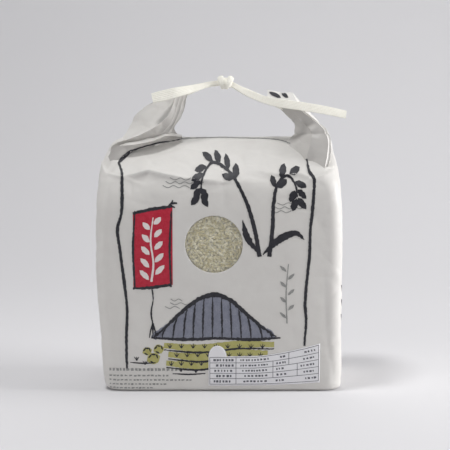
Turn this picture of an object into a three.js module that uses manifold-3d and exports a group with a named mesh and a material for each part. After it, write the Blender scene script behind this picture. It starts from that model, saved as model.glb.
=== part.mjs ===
import * as THREE from 'three';
import { mergeVertices } from 'three/addons/utils/BufferGeometryUtils.js';
import Module from 'manifold-3d';

// A square-bottomed paper rice sack that stands on a table. Its mouth is rolled to the back, the two
// ends of the roll stand up as horns, and a flat paper tie joins the horns and is knotted over the
// middle as a carrying handle. A round window in the front shows the rice. Millimetres, +Z up,
// the front faces -Y, the origin is the middle of the base.

// Driving dimensions
const SACK_WIDTH = 234;
const SACK_DEPTH = 122;
const SHOULDER_HEIGHT = 200;
const RIDGE_HEIGHT = 238;
const FRONT_BOW = 3.5;
const GAP = 0.3;

const WINDOW = { x: -4.7, z: 142.7, radius: 27, depth: 9 };
const FILM_THICKNESS = 0.5;
const GRAIN = { length: 5.0, width: 2.9, height: 2.1, pitch: 4.0 };

const LABEL = { left: -10, right: 95.5, bottom: 6, height: 29, thickness: 0.5 };
const LABEL_CLIMB = { from: 30, bottom: 3, top: 12.3 };
const LABEL_TAB = { width: 17, height: 10.5 };

const ROLL = { left: -96, right: 100, width: 40, thickness: 12, lap: 1.6 };
const ROLL_CENTRE = { y: 22, z: 225 };
const BACK_SLOPE = Math.atan2(RIDGE_HEIGHT - SHOULDER_HEIGHT, SACK_DEPTH / 2 - 6);

const TIE_WIDTH = 9.4;
const TIE_THICKNESS = 1.3;
const SLOT_CLEARANCE = 0.5;

const wasm = await Module();
wasm.setup();

// A closed mesh as a solid that can be joined and cut.
function solid(geometry) {
  let bare = geometry.clone();
  bare.deleteAttribute('normal');
  bare.deleteAttribute('uv');
  bare = mergeVertices(bare, 1e-4);
  return new wasm.Manifold(new wasm.Mesh({
    numProp: 3,
    vertProperties: new Float32Array(bare.attributes.position.array),
    triVerts: new Uint32Array(bare.index.array),
  }));
}

// The same solid as a geometry again.
function geometryOf(body) {
  const mesh = body.getMesh();
  const geometry = new THREE.BufferGeometry();
  geometry.setAttribute('position', new THREE.BufferAttribute(new Float32Array(mesh.vertProperties), 3));
  geometry.setIndex(new THREE.BufferAttribute(new Uint32Array(mesh.triVerts), 1));
  geometry.computeVertexNormals();
  return geometry;
}

// A skin over closed rings of equally many points, shut at both ends.
function loft(rings) {
  const count = rings[0].length;
  const positions = [];
  for (const ring of rings) {
    for (const point of ring) positions.push(point.x, point.y, point.z);
  }
  const index = [];
  for (let r = 0; r < rings.length - 1; r += 1) {
    for (let i = 0; i < count; i += 1) {
      const a = r * count + i;
      const b = r * count + ((i + 1) % count);
      index.push(a, b, b + count, a, b + count, a + count);
    }
  }
  for (const end of [0, rings.length - 1]) {
    const middle = new THREE.Vector3();
    for (const point of rings[end]) middle.addScaledVector(point, 1 / count);
    positions.push(middle.x, middle.y, middle.z);
    const centre = positions.length / 3 - 1;
    for (let i = 0; i < count; i += 1) {
      const a = end * count + i;
      const b = end * count + ((i + 1) % count);
      if (end === 0) index.push(centre, b, a);
      else index.push(centre, a, b);
    }
  }
  const geometry = new THREE.BufferGeometry();
  geometry.setAttribute('position', new THREE.Float32BufferAttribute(positions, 3));
  geometry.setIndex(index);
  if (volumeOf(geometry) < 0) {
    for (let i = 0; i < index.length; i += 3) [index[i], index[i + 1]] = [index[i + 1], index[i]];
    geometry.setIndex(index);
  }
  return geometry;
}

function volumeOf(geometry) {
  const index = geometry.index.array;
  const at = (i) => new THREE.Vector3().fromBufferAttribute(geometry.attributes.position, index[i]);
  let volume = 0;
  for (let i = 0; i < index.length; i += 3) {
    volume += at(i).dot(at(i + 1).cross(at(i + 2))) / 6;
  }
  return volume;
}

// Outline of the filled sack at each height: how far it is drawn in from its full half width and
// half depth, the corner radius, and how far its middle stands to the right.
const LEVELS = [
  { z: 0, narrow: 7, thin: 8, corner: 16, shift: 4 },
  { z: 2, narrow: 4.6, thin: 4.6, corner: 16, shift: 4 },
  { z: 8, narrow: 3.4, thin: 2.6, corner: 15, shift: 3.6 },
  { z: 30, narrow: 2.5, thin: 1.2, corner: 13, shift: 2.6 },
  { z: 62, narrow: 2, thin: 0.6, corner: 12, shift: 1.5 },
  { z: 90, narrow: 0.8, thin: 0.2, corner: 12, shift: 0.6 },
  { z: 112, narrow: 0.2, thin: 0, corner: 12, shift: 0 },
  { z: 172, narrow: 0.8, thin: 0.2, corner: 12, shift: 0 },
  { z: 190, narrow: 1.8, thin: 1.4, corner: 14, shift: 0 },
  { z: SHOULDER_HEIGHT, narrow: 2.6, thin: 4, corner: 16, shift: 0 },
  { z: 210, narrow: 3.6, thin: 12, corner: 18, shift: 0 },
  { z: 219, narrow: 5.4, thin: 25, corner: 17, shift: 0.4 },
  { z: 228, narrow: 10, thin: 40, corner: 12, shift: 0.6 },
  { z: 234.5, narrow: 16, thin: 51, corner: 7, shift: 0.8 },
  { z: RIDGE_HEIGHT, narrow: 24, thin: 57, corner: 3, shift: 1 },
];

// Places where the filled paper is pressed in, seen from the front or from a side.
const DENTS = [
  { x: 116, y: 0, z: 72, reach: 20, depth: 3.2 },
  { x: -74, y: -58, z: 197, reach: 17, depth: 2.2 },
  { x: -116, y: 6, z: 176, reach: 26, depth: 1.6 },
  { x: 20, y: 60, z: 96, reach: 40, depth: 1.8 },
];

function sackRing(level) {
  const halfWidth = SACK_WIDTH / 2 - level.narrow;
  const halfDepth = SACK_DEPTH / 2 - FRONT_BOW - level.thin;
  const corner = Math.min(level.corner, halfDepth - 0.3);
  const flatX = halfWidth - corner;
  const flatY = halfDepth - corner;
  const points = [];
  const side = (fromX, fromY, toX, toY, steps) => {
    for (let i = 0; i < steps; i += 1) {
      points.push([fromX + ((toX - fromX) * i) / steps, fromY + ((toY - fromY) * i) / steps]);
    }
  };
  const bend = (cx, cy, start) => {
    for (let i = 0; i < 3; i += 1) {
      const angle = start + (Math.PI / 6) * i;
      points.push([cx + corner * Math.cos(angle), cy + corner * Math.sin(angle)]);
    }
  };
  side(-flatX, -halfDepth, flatX, -halfDepth, 10);
  bend(flatX, -flatY, -Math.PI / 2);
  side(halfWidth, -flatY, halfWidth, flatY, 4);
  bend(flatX, flatY, 0);
  side(flatX, halfDepth, -flatX, halfDepth, 10);
  bend(-flatX, flatY, Math.PI / 2);
  side(-halfWidth, flatY, -halfWidth, -flatY, 4);
  bend(-flatX, -flatY, Math.PI);
  const fill = Math.sin(Math.PI * Math.min(1, level.z / (RIDGE_HEIGHT + 20)));
  return points.map(([x, y]) => {
    const across = 1 - (x / halfWidth) ** 2;
    const bow = FRONT_BOW * fill * across * Math.sign(y) * (Math.abs(y) > flatY ? 1 : 0);
    const point = new THREE.Vector3(x + level.shift, y + bow, level.z);
    for (const dent of DENTS) {
      const away = Math.hypot(point.x - dent.x, point.y - dent.y, point.z - dent.z);
      const pressed = dent.depth * Math.exp(-((away / dent.reach) ** 2));
      if (Math.abs(dent.x) > 100) point.x -= Math.sign(dent.x) * pressed;
      else point.y -= Math.sign(dent.y) * pressed;
    }
    return point;
  });
}

// The mouth rolled flat on the back slope: a thick strip with the edge of the last lap along it,
// which thins out and lifts where its ends turn up into the horns.
function rollGeometry() {
  const half = ROLL.width / 2;
  const round = ROLL.thickness / 2;
  const outline = new THREE.Shape();
  outline.moveTo(-half + round, -round);
  outline.lineTo(half - round, -round);
  outline.absarc(half - round, 0, round, -Math.PI / 2, Math.PI / 2, false);
  outline.lineTo(-half * 0.3, round);
  outline.lineTo(-half * 0.3 - 0.8, round - ROLL.lap);
  outline.lineTo(-half + round, round - ROLL.lap);
  outline.absarc(-half + round, -ROLL.lap / 2, round - ROLL.lap / 2, Math.PI / 2, Math.PI * 1.5, false);
  const section = outline.extractPoints(4).shape;
  const middle = (ROLL.left + ROLL.right) / 2;
  const reach = (ROLL.right - ROLL.left) / 2;
  const down = new THREE.Vector3(0, Math.cos(BACK_SLOPE), -Math.sin(BACK_SLOPE));
  const out = new THREE.Vector3(0, Math.sin(BACK_SLOPE), Math.cos(BACK_SLOPE));
  const rings = [];
  for (let s = -8; s <= 8; s += 1) {
    const along = s / 8;
    const end = Math.max(0, Math.abs(along) - 0.62) / 0.38;
    const scale = 1 - 0.45 * end * end;
    const centre = new THREE.Vector3(middle + reach * along, ROLL_CENTRE.y - 7 * end, ROLL_CENTRE.z + 2 * end);
    rings.push(section.map((p) => centre.clone()
      .addScaledVector(down, p.x * scale)
      .addScaledVector(out, p.y * scale)));
  }
  return loft(rings);
}

// A horn is a folded flap of paper, drawn in towards its tip. Its edges run from the shoulder of the
// sack up to the tip: the outer edge, the crest, the ridge in front, the lip under the ridge, the
// edge round the handle opening, and the back edge.
const LEFT_HORN = {
  outer: [[-106, -8, 206], [-106, -10, 222], [-92, 0, 238], [-86, 5, 248], [-80, 5, 259], [-62, 3, 273]],
  crest: [[-98, -20, 210], [-101, -20, 229], [-78, -22, 239], [-59, -26, 250], [-48, -20, 260], [-40, -9, 282]],
  ridge: [[-96, -28, 206], [-99, -27, 226], [-71, -28, 234.5], [-56, -26, 246], [-46.5, -19, 258.5], [-38, -9, 283]],
  lip: [[-88, -36, 204], [-92, -40, 214.5], [-63, -24, 231], [-53, -20, 243], [-44.5, -16, 257], [-35.5, -7, 283]],
  inner: [[-40, -8, 222], [-36, -4, 236.5], [-40, -2, 240], [-43, 1, 246], [-36, 3, 258], [-28.5, 0, 283]],
  back: [[-70, 18, 212], [-72, 18, 228], [-66, 21, 240], [-60, 20, 250], [-54, 16, 261], [-44, 8, 282]],
};
const RIGHT_HORN = {
  outer: [[106, -10, 206], [110, -8, 216], [109, 2, 230], [105.5, 5, 241], [94, 5, 254.5], [80.5, 3, 264]],
  crest: [[92, -36, 202], [100, -32, 214], [105, -20, 234], [102.5, -14, 245.5], [91, -12, 255.5], [75, -9, 267.5]],
  ridge: [[88, -38, 202], [93, -34, 213], [101, -22, 234], [99, -14, 246.5], [88, -12, 256.5], [71, -9, 269.5]],
  lip: [[82, -34, 202], [84, -28, 219], [92, -16, 237], [92, -10, 248], [81, -9, 258.5], [64, -8, 271.5]],
  inner: [[64, -6, 222], [66, -3, 236], [71, 1, 242], [72.5, 3, 248], [66.5, 2, 256.5], [50, 0, 268.5]],
  back: [[88, 18, 212], [90, 18, 228], [90, 20, 240], [86, 19, 250], [76, 15, 261], [60, 9, 276]],
};
const HORN_RINGS = 13;

function hornGeometry(edges) {
  const curves = ['outer', 'crest', 'ridge', 'lip', 'inner', 'back'].map(
    (name) => new THREE.CatmullRomCurve3(edges[name].map((p) => new THREE.Vector3(...p)), false, 'centripetal'),
  );
  const rings = [];
  for (let r = 0; r < HORN_RINGS; r += 1) {
    const corners = curves.map((curve) => curve.getPoint(r / (HORN_RINGS - 1)));
    const ring = [];
    corners.forEach((corner, i) => {
      const next = corners[(i + 1) % corners.length];
      ring.push(corner, corner.clone().lerp(next, 0.5));
    });
    rings.push(ring);
  }
  return loft(rings);
}

// A flat band through points with a width at each: its flat side looks to the front.
function bandGeometry(points, widths, thicknesses) {
  const route = new THREE.CatmullRomCurve3(points.map((p) => new THREE.Vector3(...p)), false, 'centripetal');
  const steps = (points.length - 1) * 3;
  const rings = [];
  for (let s = 0; s <= steps; s += 1) {
    const t = s / steps;
    const place = Math.min(t * (points.length - 1), points.length - 1.001);
    const low = Math.floor(place);
    const half = THREE.MathUtils.lerp(widths[low], widths[low + 1], place - low) / 2;
    const thick = THREE.MathUtils.lerp(thicknesses[low], thicknesses[low + 1], place - low) / 2;
    const centre = route.getPoint(t);
    const ahead = route.getTangent(t);
    const across = new THREE.Vector3(-ahead.z, 0, ahead.x).normalize();
    const through = new THREE.Vector3().crossVectors(ahead, across).normalize();
    const corner = (a, b) => centre.clone().addScaledVector(across, a).addScaledVector(through, b);
    rings.push([corner(half, thick), corner(-half, thick), corner(-half, -thick), corner(half, -thick)]);
  }
  return loft(rings);
}

// The tie comes out of a slot in each horn's tip and is knotted over the middle, and from the knot a
// tail runs back in front of each horn. A route lists its points, its widths and its thicknesses.
const KNOT = { x: 5.6, y: 0, z: 289.5 };
const LEFT_TAIL = {
  points: [[-63.5, -16, 276], [-51, -16, 279], [-39, -15, 282], [-24, -9, 285], [-8, -2, 288.8], [3, 0, 290]],
  widths: [TIE_WIDTH, TIE_WIDTH + 1, TIE_WIDTH, 7.4, 4.6, 4.6],
  thicknesses: [TIE_THICKNESS, TIE_THICKNESS, TIE_THICKNESS, 1.8, 2.8, 3],
};
const RIGHT_TAIL = {
  points: [[121, -13, 260.2], [101, -15, 264.6], [79, -15.5, 268.2], [60, -14, 270.9], [46, -9, 273.4],
    [28, -1.5, 279.6], [14, 0, 287], [8, 0, 290]],
  widths: [7.6, 8, 8.4, 8.4, 7.4, 6.8, 5.6, 5],
  thicknesses: [TIE_THICKNESS, TIE_THICKNESS, TIE_THICKNESS, TIE_THICKNESS, TIE_THICKNESS, 1.8, 2.6, 3],
};
const LEFT_SPAN = {
  points: [[-42, 0, 276], [-29, 0, 281], [-12, 1, 287], [4, 1.5, 289.5]],
  widths: [6, 6, 4.6, 4.6],
  thicknesses: [TIE_THICKNESS, TIE_THICKNESS, 2.4, 2.4],
};
const RIGHT_SPAN = {
  points: [[62, 1, 266], [48, 1, 272], [28, 2, 280.5], [8, 1.5, 289]],
  widths: [6, 6, 6, 4.6],
  thicknesses: [TIE_THICKNESS, TIE_THICKNESS, 1.8, 2.4],
};

function tieGeometry() {
  const bands = [LEFT_TAIL, RIGHT_TAIL, LEFT_SPAN, RIGHT_SPAN].map(
    (route) => bandGeometry(route.points, route.widths, route.thicknesses),
  );
  const turns = [
    knotTurn(-3, 0.45, 5.4, 5.6),
    knotTurn(3.6, -0.65, 5.6, 5.2),
    knotTurn(0.4, 1.3, 4.8, 4.4),
  ];
  const core = new THREE.SphereGeometry(5, 8, 6);
  core.translate(KNOT.x, KNOT.y, KNOT.z);
  return geometryOf([...bands, ...turns, core].map(solid).reduce((tie, piece) => tie.add(piece)));
}

// One turn of the band round the knot, leaning to one side.
function knotTurn(offset, lean, size, width) {
  const turn = new THREE.TorusGeometry(size, width / 2, 6, 12);
  turn.rotateY(Math.PI / 2);
  turn.scale(1, 0.72, 1);
  turn.rotateY(lean);
  turn.translate(KNOT.x + offset, KNOT.y, KNOT.z);
  return turn;
}

// The room that a span of the tie has round it, and a little past its hidden end.
function slotGeometry(span) {
  const [end, mouth] = span.points;
  const past = end.map((value, i) => value + (value - mouth[i]) * 0.12);
  const wider = (values) => values.map((value) => value + 2 * SLOT_CLEARANCE);
  return bandGeometry([past, ...span.points.slice(1)], wider(span.widths), wider(span.thicknesses));
}

// The front of the filled sack at one place, read from the same levels as the sack.
const skinCache = LEVELS.map(sackRing);
function frontAt(x, z) {
  let upper = LEVELS.findIndex((level) => level.z > z);
  if (upper < 1) upper = 1;
  const share = (z - LEVELS[upper - 1].z) / (LEVELS[upper].z - LEVELS[upper - 1].z);
  const depthOf = (ring) => {
    for (let i = 0; i < 10; i += 1) {
      const a = ring[i];
      const b = ring[i + 1];
      if (x <= b.x || i === 9) return a.y + ((b.y - a.y) * (x - a.x)) / (b.x - a.x);
    }
    return 0;
  };
  return THREE.MathUtils.lerp(depthOf(skinCache[upper - 1]), depthOf(skinCache[upper]), share);
}

const FILM_FRONT = frontAt(WINDOW.x, WINDOW.z) + 0.9;
const FILM_BACK = FILM_FRONT + FILM_THICKNESS;
const RECESS_FLOOR = FILM_FRONT - 0.9 + WINDOW.depth;

// A round disc or plug that faces the front.
function disc(radius, fromY, toY, sides) {
  const plug = new THREE.CylinderGeometry(radius, radius, toY - fromY, sides);
  plug.translate(0, (fromY + toY) / 2, 0);
  plug.translate(WINDOW.x, 0, WINDOW.z);
  return plug;
}

function sackGeometry() {
  const paper = [loft(LEVELS.map(sackRing)), rollGeometry(), hornGeometry(LEFT_HORN), hornGeometry(RIGHT_HORN)];
  const room = [
    slotGeometry(LEFT_SPAN),
    slotGeometry(RIGHT_SPAN),
    disc(WINDOW.radius, FILM_FRONT - 8, RECESS_FLOOR, 48),
  ];
  const whole = paper.map(solid).reduce((sack, piece) => sack.add(piece));
  return geometryOf(room.map(solid).reduce((sack, piece) => sack.subtract(piece), whole));
}

// A small repeatable source of chance.
function seeded(seed) {
  let state = seed;
  return () => {
    state = (state * 1664525 + 1013904223) % 4294967296;
    return state / 4294967296;
  };
}

// Grains laid side by side against the window, on a core that fills the recess behind them.
function riceGeometry() {
  const chance = seeded(41);
  const rim = WINDOW.radius - GAP;
  const front = FILM_BACK + GAP;
  const bed = front + GRAIN.height * 0.9;
  let rice = solid(disc(rim, bed, RECESS_FLOOR - GAP, 32));
  const row = GRAIN.pitch * Math.sqrt(3) / 2;
  const rows = Math.floor(rim / row);
  const grains = [];
  for (let j = -rows; j <= rows; j += 1) {
    for (let i = -rows; i <= rows; i += 1) {
      const x = (i + (j % 2 ? 0.5 : 0)) * GRAIN.pitch + (chance() - 0.5) * 1.1;
      const z = j * row + (chance() - 0.5) * 1.1;
      const angle = chance() * Math.PI;
      const tip = (chance() - 0.5) * 0.3;
      const size = 0.9 + chance() * 0.2;
      const reach = Math.hypot(x, z) + (GRAIN.length / 2) * size;
      if (reach > rim + 0.6) continue;
      const grain = new THREE.SphereGeometry(0.5, 6, 3);
      grain.scale(GRAIN.width * size, GRAIN.length * size, GRAIN.height * size);
      grain.rotateX(tip);
      grain.rotateZ(angle);
      grain.rotateX(Math.PI / 2);
      const sunk = bed - GRAIN.height * 0.34 + chance() * 0.25;
      grain.translate(WINDOW.x + x, sunk, WINDOW.z + z);
      grains.push(grain);
    }
  }
  for (const grain of grains) rice = rice.add(solid(grain));
  const space = solid(disc(rim, front, RECESS_FLOOR - GAP, 32));
  return geometryOf(rice.intersect(space));
}

// A thin skin that follows the front of the sack, GAP in front of it.
function frontSkin(left, right, bottom, top, near, far) {
  const columns = 24;
  const rowsUp = 14;
  const rings = [];
  for (let c = 0; c <= columns; c += 1) {
    const x = left + ((right - left) * c) / columns;
    const ring = [];
    for (let r = 0; r <= rowsUp; r += 1) {
      const z = bottom + ((top - bottom) * r) / rowsUp;
      ring.push(new THREE.Vector3(x, frontAt(x, z) - near, z));
    }
    for (let r = rowsUp; r >= 0; r -= 1) {
      const z = bottom + ((top - bottom) * r) / rowsUp;
      ring.push(new THREE.Vector3(x, frontAt(x, z) - far, z));
    }
    rings.push(ring);
  }
  return loft(rings);
}

// The paper label: a long strip that climbs to the right, with a small arched tab on its left end.
function labelGeometry() {
  const { left, right, bottom } = LABEL;
  const top = bottom + LABEL.height;
  const climb = (x) => Math.max(0, (x - LABEL_CLIMB.from) / (right - LABEL_CLIMB.from)) ** 1.5;
  const across = [0, 0.25, 0.5, 0.75, 1].map((share) => THREE.MathUtils.lerp(LABEL_CLIMB.from, right, share));
  const arch = LABEL_TAB.width / 2;
  const outline = new THREE.Shape();
  outline.moveTo(left, bottom);
  for (const x of across) outline.lineTo(x, bottom + LABEL_CLIMB.bottom * climb(x));
  for (const x of across.reverse()) outline.lineTo(x, top + LABEL_CLIMB.top * climb(x));
  outline.lineTo(left + LABEL_TAB.width, top);
  outline.absellipse(left + arch, top, arch, LABEL_TAB.height, 0, Math.PI, false, 0);
  outline.lineTo(left, bottom);
  const cutter = new THREE.ExtrudeGeometry(outline, { depth: 30, bevelEnabled: false, curveSegments: 10 });
  cutter.rotateX(Math.PI / 2);
  cutter.translate(0, -40, 0);
  const near = 0.5;
  const far = near + LABEL.thickness;
  const margin = 3;
  const highest = top + Math.max(LABEL_TAB.height, LABEL_CLIMB.top) + margin;
  const skin = frontSkin(left - margin, right + margin, bottom - margin, highest, near, far);
  return geometryOf(solid(cutter).intersect(solid(skin)));
}

function named(name, geometry, color, roughness, extra = {}) {
  const material = new THREE.MeshStandardMaterial({ color, roughness, metalness: 0, ...extra });
  const mesh = new THREE.Mesh(geometry, material);
  mesh.name = name;
  return mesh;
}

const filmGeometry = disc(WINDOW.radius - GAP, FILM_FRONT, FILM_BACK, 32);

const riceSack = new THREE.Group();
riceSack.add(named('sack', sackGeometry(), 0xe9e7e3, 0.75));
riceSack.add(named('tie', tieGeometry(), 0xf0ecdc, 0.7));
riceSack.add(named('rice', riceGeometry(), 0xd8d2b4, 0.5));
riceSack.add(named('window_film', filmGeometry, 0xf4f4f0, 0.15, { transparent: true, opacity: 0.3 }));
riceSack.add(named('label', labelGeometry(), 0xf4f3f1, 0.45));

export default riceSack;
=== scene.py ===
"""A filled rice sack of white kraft paper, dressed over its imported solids.

The mouth of the sack is rolled to the back, the two ends of the roll stand up as horns, and a flat
paper tie joins them as a carrying handle. A round film window in the front shows the rice. Lengths in
the classes are millimetres; they become metres where a mesh is made.
"""
import logging
import math
import random
from dataclasses import dataclass, field
from enum import Enum
from typing import Any, Callable, Sequence

import bmesh
import bpy
from mathutils import Matrix, Vector, noise
from mathutils.bvhtree import BVHTree


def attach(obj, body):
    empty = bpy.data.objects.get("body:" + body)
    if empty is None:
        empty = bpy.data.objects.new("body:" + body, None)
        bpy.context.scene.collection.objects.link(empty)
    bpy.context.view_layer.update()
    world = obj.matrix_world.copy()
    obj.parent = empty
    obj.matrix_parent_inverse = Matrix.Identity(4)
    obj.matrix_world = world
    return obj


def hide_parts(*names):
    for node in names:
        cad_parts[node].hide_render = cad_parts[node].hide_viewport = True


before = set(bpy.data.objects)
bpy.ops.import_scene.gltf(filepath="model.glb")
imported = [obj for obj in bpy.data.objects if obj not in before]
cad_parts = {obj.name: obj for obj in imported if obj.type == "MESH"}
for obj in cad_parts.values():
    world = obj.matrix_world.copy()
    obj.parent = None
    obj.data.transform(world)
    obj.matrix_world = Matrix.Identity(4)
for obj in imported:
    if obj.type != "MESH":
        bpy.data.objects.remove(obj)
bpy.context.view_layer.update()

log = logging.getLogger("rice_sack")

MM = 0.001


# Small tools

def linear(hex_colour: str) -> tuple[float, float, float, float]:
    """Turn an sRGB hex colour into the linear values that shaders take.

    Args:
        hex_colour: a colour such as "#ece9e4".

    Returns:
        Linear red, green and blue, and an alpha of one.
    """
    channels = []
    for at in (1, 3, 5):
        value = int(hex_colour[at:at + 2], 16) / 255
        channels.append(value / 12.92 if value <= 0.04045 else ((value + 0.055) / 1.055) ** 2.4)
    return (channels[0], channels[1], channels[2], 1.0)


def add_node(
    tree: bpy.types.NodeTree, kind: str, inputs: dict[Any, Any] | None = None, **settings: Any,
) -> Any:
    """Add one node with its settings, constants and links.

    Args:
        tree: the node tree that the node joins.
        kind: Blender's name for the node type.
        inputs: socket name or number to a constant, or to the output socket that feeds it.
        settings: properties of the node itself.

    Returns:
        The new node.
    """
    made = tree.nodes.new(kind)
    for name, value in settings.items():
        setattr(made, name, value)
    for key, value in (inputs or {}).items():
        if isinstance(value, bpy.types.NodeSocket):
            tree.links.new(value, made.inputs[key])
        else:
            made.inputs[key].default_value = value
    return made


def scale_of(feature_mm: float) -> float:
    """Noise scale on Object coordinates for features of a real size in millimetres."""
    return 1 / (feature_mm * MM)


def blank_material(name: str) -> tuple[bpy.types.Material, bpy.types.NodeTree, Any]:
    """Make an empty node material.

    Args:
        name: the material's name.

    Returns:
        The material, its tree and the output node.
    """
    material = bpy.data.materials.new(name)
    material.use_nodes = True
    tree = material.node_tree
    tree.nodes.clear()
    return material, tree, add_node(tree, "ShaderNodeOutputMaterial")


def cockled(tree: bpy.types.NodeTree, place: Any, strength: float = 0.5, cell_mm: float = 11.0) -> Any:
    """The normal of paper with soft cockles.

    Args:
        tree: the material's node tree.
        place: the output that gives Object coordinates.
        strength: how strongly the cockles show.
        cell_mm: their size.

    Returns:
        The output with the normal.
    """
    cockle = add_node(tree, "ShaderNodeTexNoise", {
        "Vector": place, "Scale": scale_of(cell_mm), "Detail": 2.0, "Roughness": 0.45})
    return add_node(tree, "ShaderNodeBump", {
        "Height": cockle.outputs["Fac"], "Strength": strength, "Distance": 0.5 * MM}).outputs["Normal"]


def ramp(value: float, start: float, end: float) -> float:
    """0 before start, 1 past end and even between them; end may be the smaller."""
    return max(0.0, min(1.0, (value - start) / (end - start)))


def creased(place: Vector, cell_mm: float, seed: Vector, softness: float) -> float:
    """Depth of crumpled paper at a place: -1 on a crease, near 0 between creases.

    Args:
        place: the place in millimetres.
        cell_mm: the distance between creases.
        seed: sets where the creases run.
        softness: how wide a crease is, as a share of a cell.

    Returns:
        The depth.
    """
    near, _ = noise.voronoi(place / cell_mm + seed)
    return -math.exp(-(near[1] - near[0]) / softness)


def through(points: Sequence[Vector], share: float) -> Vector:
    """A place on the smooth curve through points, with even spans between them.

    Args:
        points: the points that the curve passes.
        share: 0 at the first point, 1 at the last.

    Returns:
        The place on the curve.
    """
    spans = len(points) - 1
    along = min(max(share, 0.0) * spans, spans - 1e-9)
    at = int(along)
    w = along - at
    p1, p2 = points[at], points[at + 1]
    p0 = points[at - 1] if at else p1 * 2 - p2
    p3 = points[at + 2] if at + 2 <= spans else p2 * 2 - p1
    d0, d1, d2 = ((a - b).length ** 0.5 or 1e-4 for a, b in ((p1, p0), (p2, p1), (p3, p2)))
    m1 = ((p1 - p0) / d0 - (p2 - p0) / (d0 + d1) + (p2 - p1) / d1) * d1
    m2 = ((p2 - p1) / d1 - (p3 - p1) / (d1 + d2) + (p3 - p2) / d2) * d1
    w2, w3 = w * w, w * w * w
    return p1 * (2 * w3 - 3 * w2 + 1) + m1 * (w3 - 2 * w2 + w) + p2 * (3 * w2 - 2 * w3) + m2 * (w3 - w2)


@dataclass(frozen=True)
class Graded:
    """A number that changes smoothly with another, through given pairs and without overshoot."""

    at: tuple[float, ...]
    value: tuple[float, ...]

    def __call__(self, x: float) -> float:
        """The value at x.

        Args:
            x: where to read.

        Returns:
            The graded value, held at the ends.
        """
        xs, ys = self.at, self.value
        if x <= xs[0]:
            return ys[0]
        if x >= xs[-1]:
            return ys[-1]
        i = next(k for k in range(1, len(xs)) if x <= xs[k]) - 1
        slopes = [(ys[k + 1] - ys[k]) / (xs[k + 1] - xs[k]) for k in range(len(xs) - 1)]

        def tangent(k: int) -> float:
            """The slope at pair k, flat where the values turn."""
            if k == 0:
                return slopes[0]
            if k == len(xs) - 1:
                return slopes[-1]
            before, after = slopes[k - 1], slopes[k]
            return 0.0 if before * after <= 0 else 2 * before * after / (before + after)

        width = xs[i + 1] - xs[i]
        w = (x - xs[i]) / width
        rise = 3 * w * w - 2 * w ** 3
        lead = (w ** 3 - 2 * w * w + w) * width * tangent(i)
        lag = (w ** 3 - w * w) * width * tangent(i + 1)
        return ys[i] * (1 - rise) + ys[i + 1] * rise + lead + lag


def sheet_tube(
    columns: int, rows: int, place: Callable[[float, float], Vector], ring: bool = False,
    size: tuple[float, float] = (1, 1),
) -> bmesh.types.BMesh:
    """Fold a flat sheet into a tube: its two long edges meet, and its ends are shut or joined.

    Args:
        columns: cells round the tube.
        rows: cells along it.
        place: gives the place in millimetres for a share round and a share along.
        ring: whether the tube's two ends meet too.
        size: the sheet's real width and length in millimetres, for its UV map.

    Returns:
        The tube as a closed bmesh in metres.
    """
    bm = bmesh.new()
    uv = bm.loops.layers.uv.new("sheet")
    bmesh.ops.create_grid(bm, x_segments=columns, y_segments=rows, size=0.5, calc_uvs=True)
    for face in bm.faces:
        for loop in face.loops:
            loop[uv].uv = ((loop.vert.co.x + 0.5) * size[0] * MM, (loop.vert.co.y + 0.5) * size[1] * MM)
    for vert in bm.verts:
        vert.co = place(vert.co.x + 0.5, vert.co.y + 0.5) * MM
    bmesh.ops.remove_doubles(bm, verts=bm.verts, dist=0.002 * MM)
    if not ring:
        bmesh.ops.holes_fill(bm, edges=bm.edges, sides=0)
    bmesh.ops.recalc_face_normals(bm, faces=bm.faces)
    return bm


def to_object(bm: bmesh.types.BMesh, name: str, crease_degrees: float = 38.0) -> bpy.types.Object:
    """Turn a bmesh into a smooth-shaded object with its sharp folds marked.

    Args:
        bm: the mesh, which is freed.
        name: the object's name.
        crease_degrees: folds sharper than this stay crisp.

    Returns:
        The object, at the origin.
    """
    limit = math.radians(crease_degrees)
    for face in bm.faces:
        face.smooth = True
    for edge in bm.edges:
        edge.smooth = edge.calc_face_angle(0.0) < limit
    mesh = bpy.data.meshes.new(name)
    bm.to_mesh(mesh)
    bm.free()
    made = bpy.data.objects.new(name, mesh)
    bpy.context.scene.collection.objects.link(made)
    return made


def apply_modifiers(piece: bpy.types.Object) -> None:
    """Make a piece's modifiers part of its mesh.

    Args:
        piece: the object.
    """
    evaluated = piece.evaluated_get(bpy.context.evaluated_depsgraph_get())
    mesh = bpy.data.meshes.new_from_object(evaluated)
    piece.modifiers.clear()
    old = piece.data
    piece.data = mesh
    bpy.data.meshes.remove(old)


class Slot(Enum):
    """The record's material slots."""

    SACK = "sack_paper"
    TIE = "tie_paper"
    RICE = "rice"
    FILM = "film"
    LABEL = "label_paper"


def fit(piece: bpy.types.Object, material: bpy.types.Material, slot: Slot, *nodes: str) -> bpy.types.Object:
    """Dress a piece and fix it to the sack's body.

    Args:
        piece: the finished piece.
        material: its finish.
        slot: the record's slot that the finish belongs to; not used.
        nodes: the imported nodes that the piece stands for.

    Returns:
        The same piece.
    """
    piece.data.materials.append(material)
    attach(piece, "root")
    if nodes:
        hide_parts(*nodes)
    log.info("%s: %d faces", piece.name, len(piece.data.polygons))
    return piece


# Finishes

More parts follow.
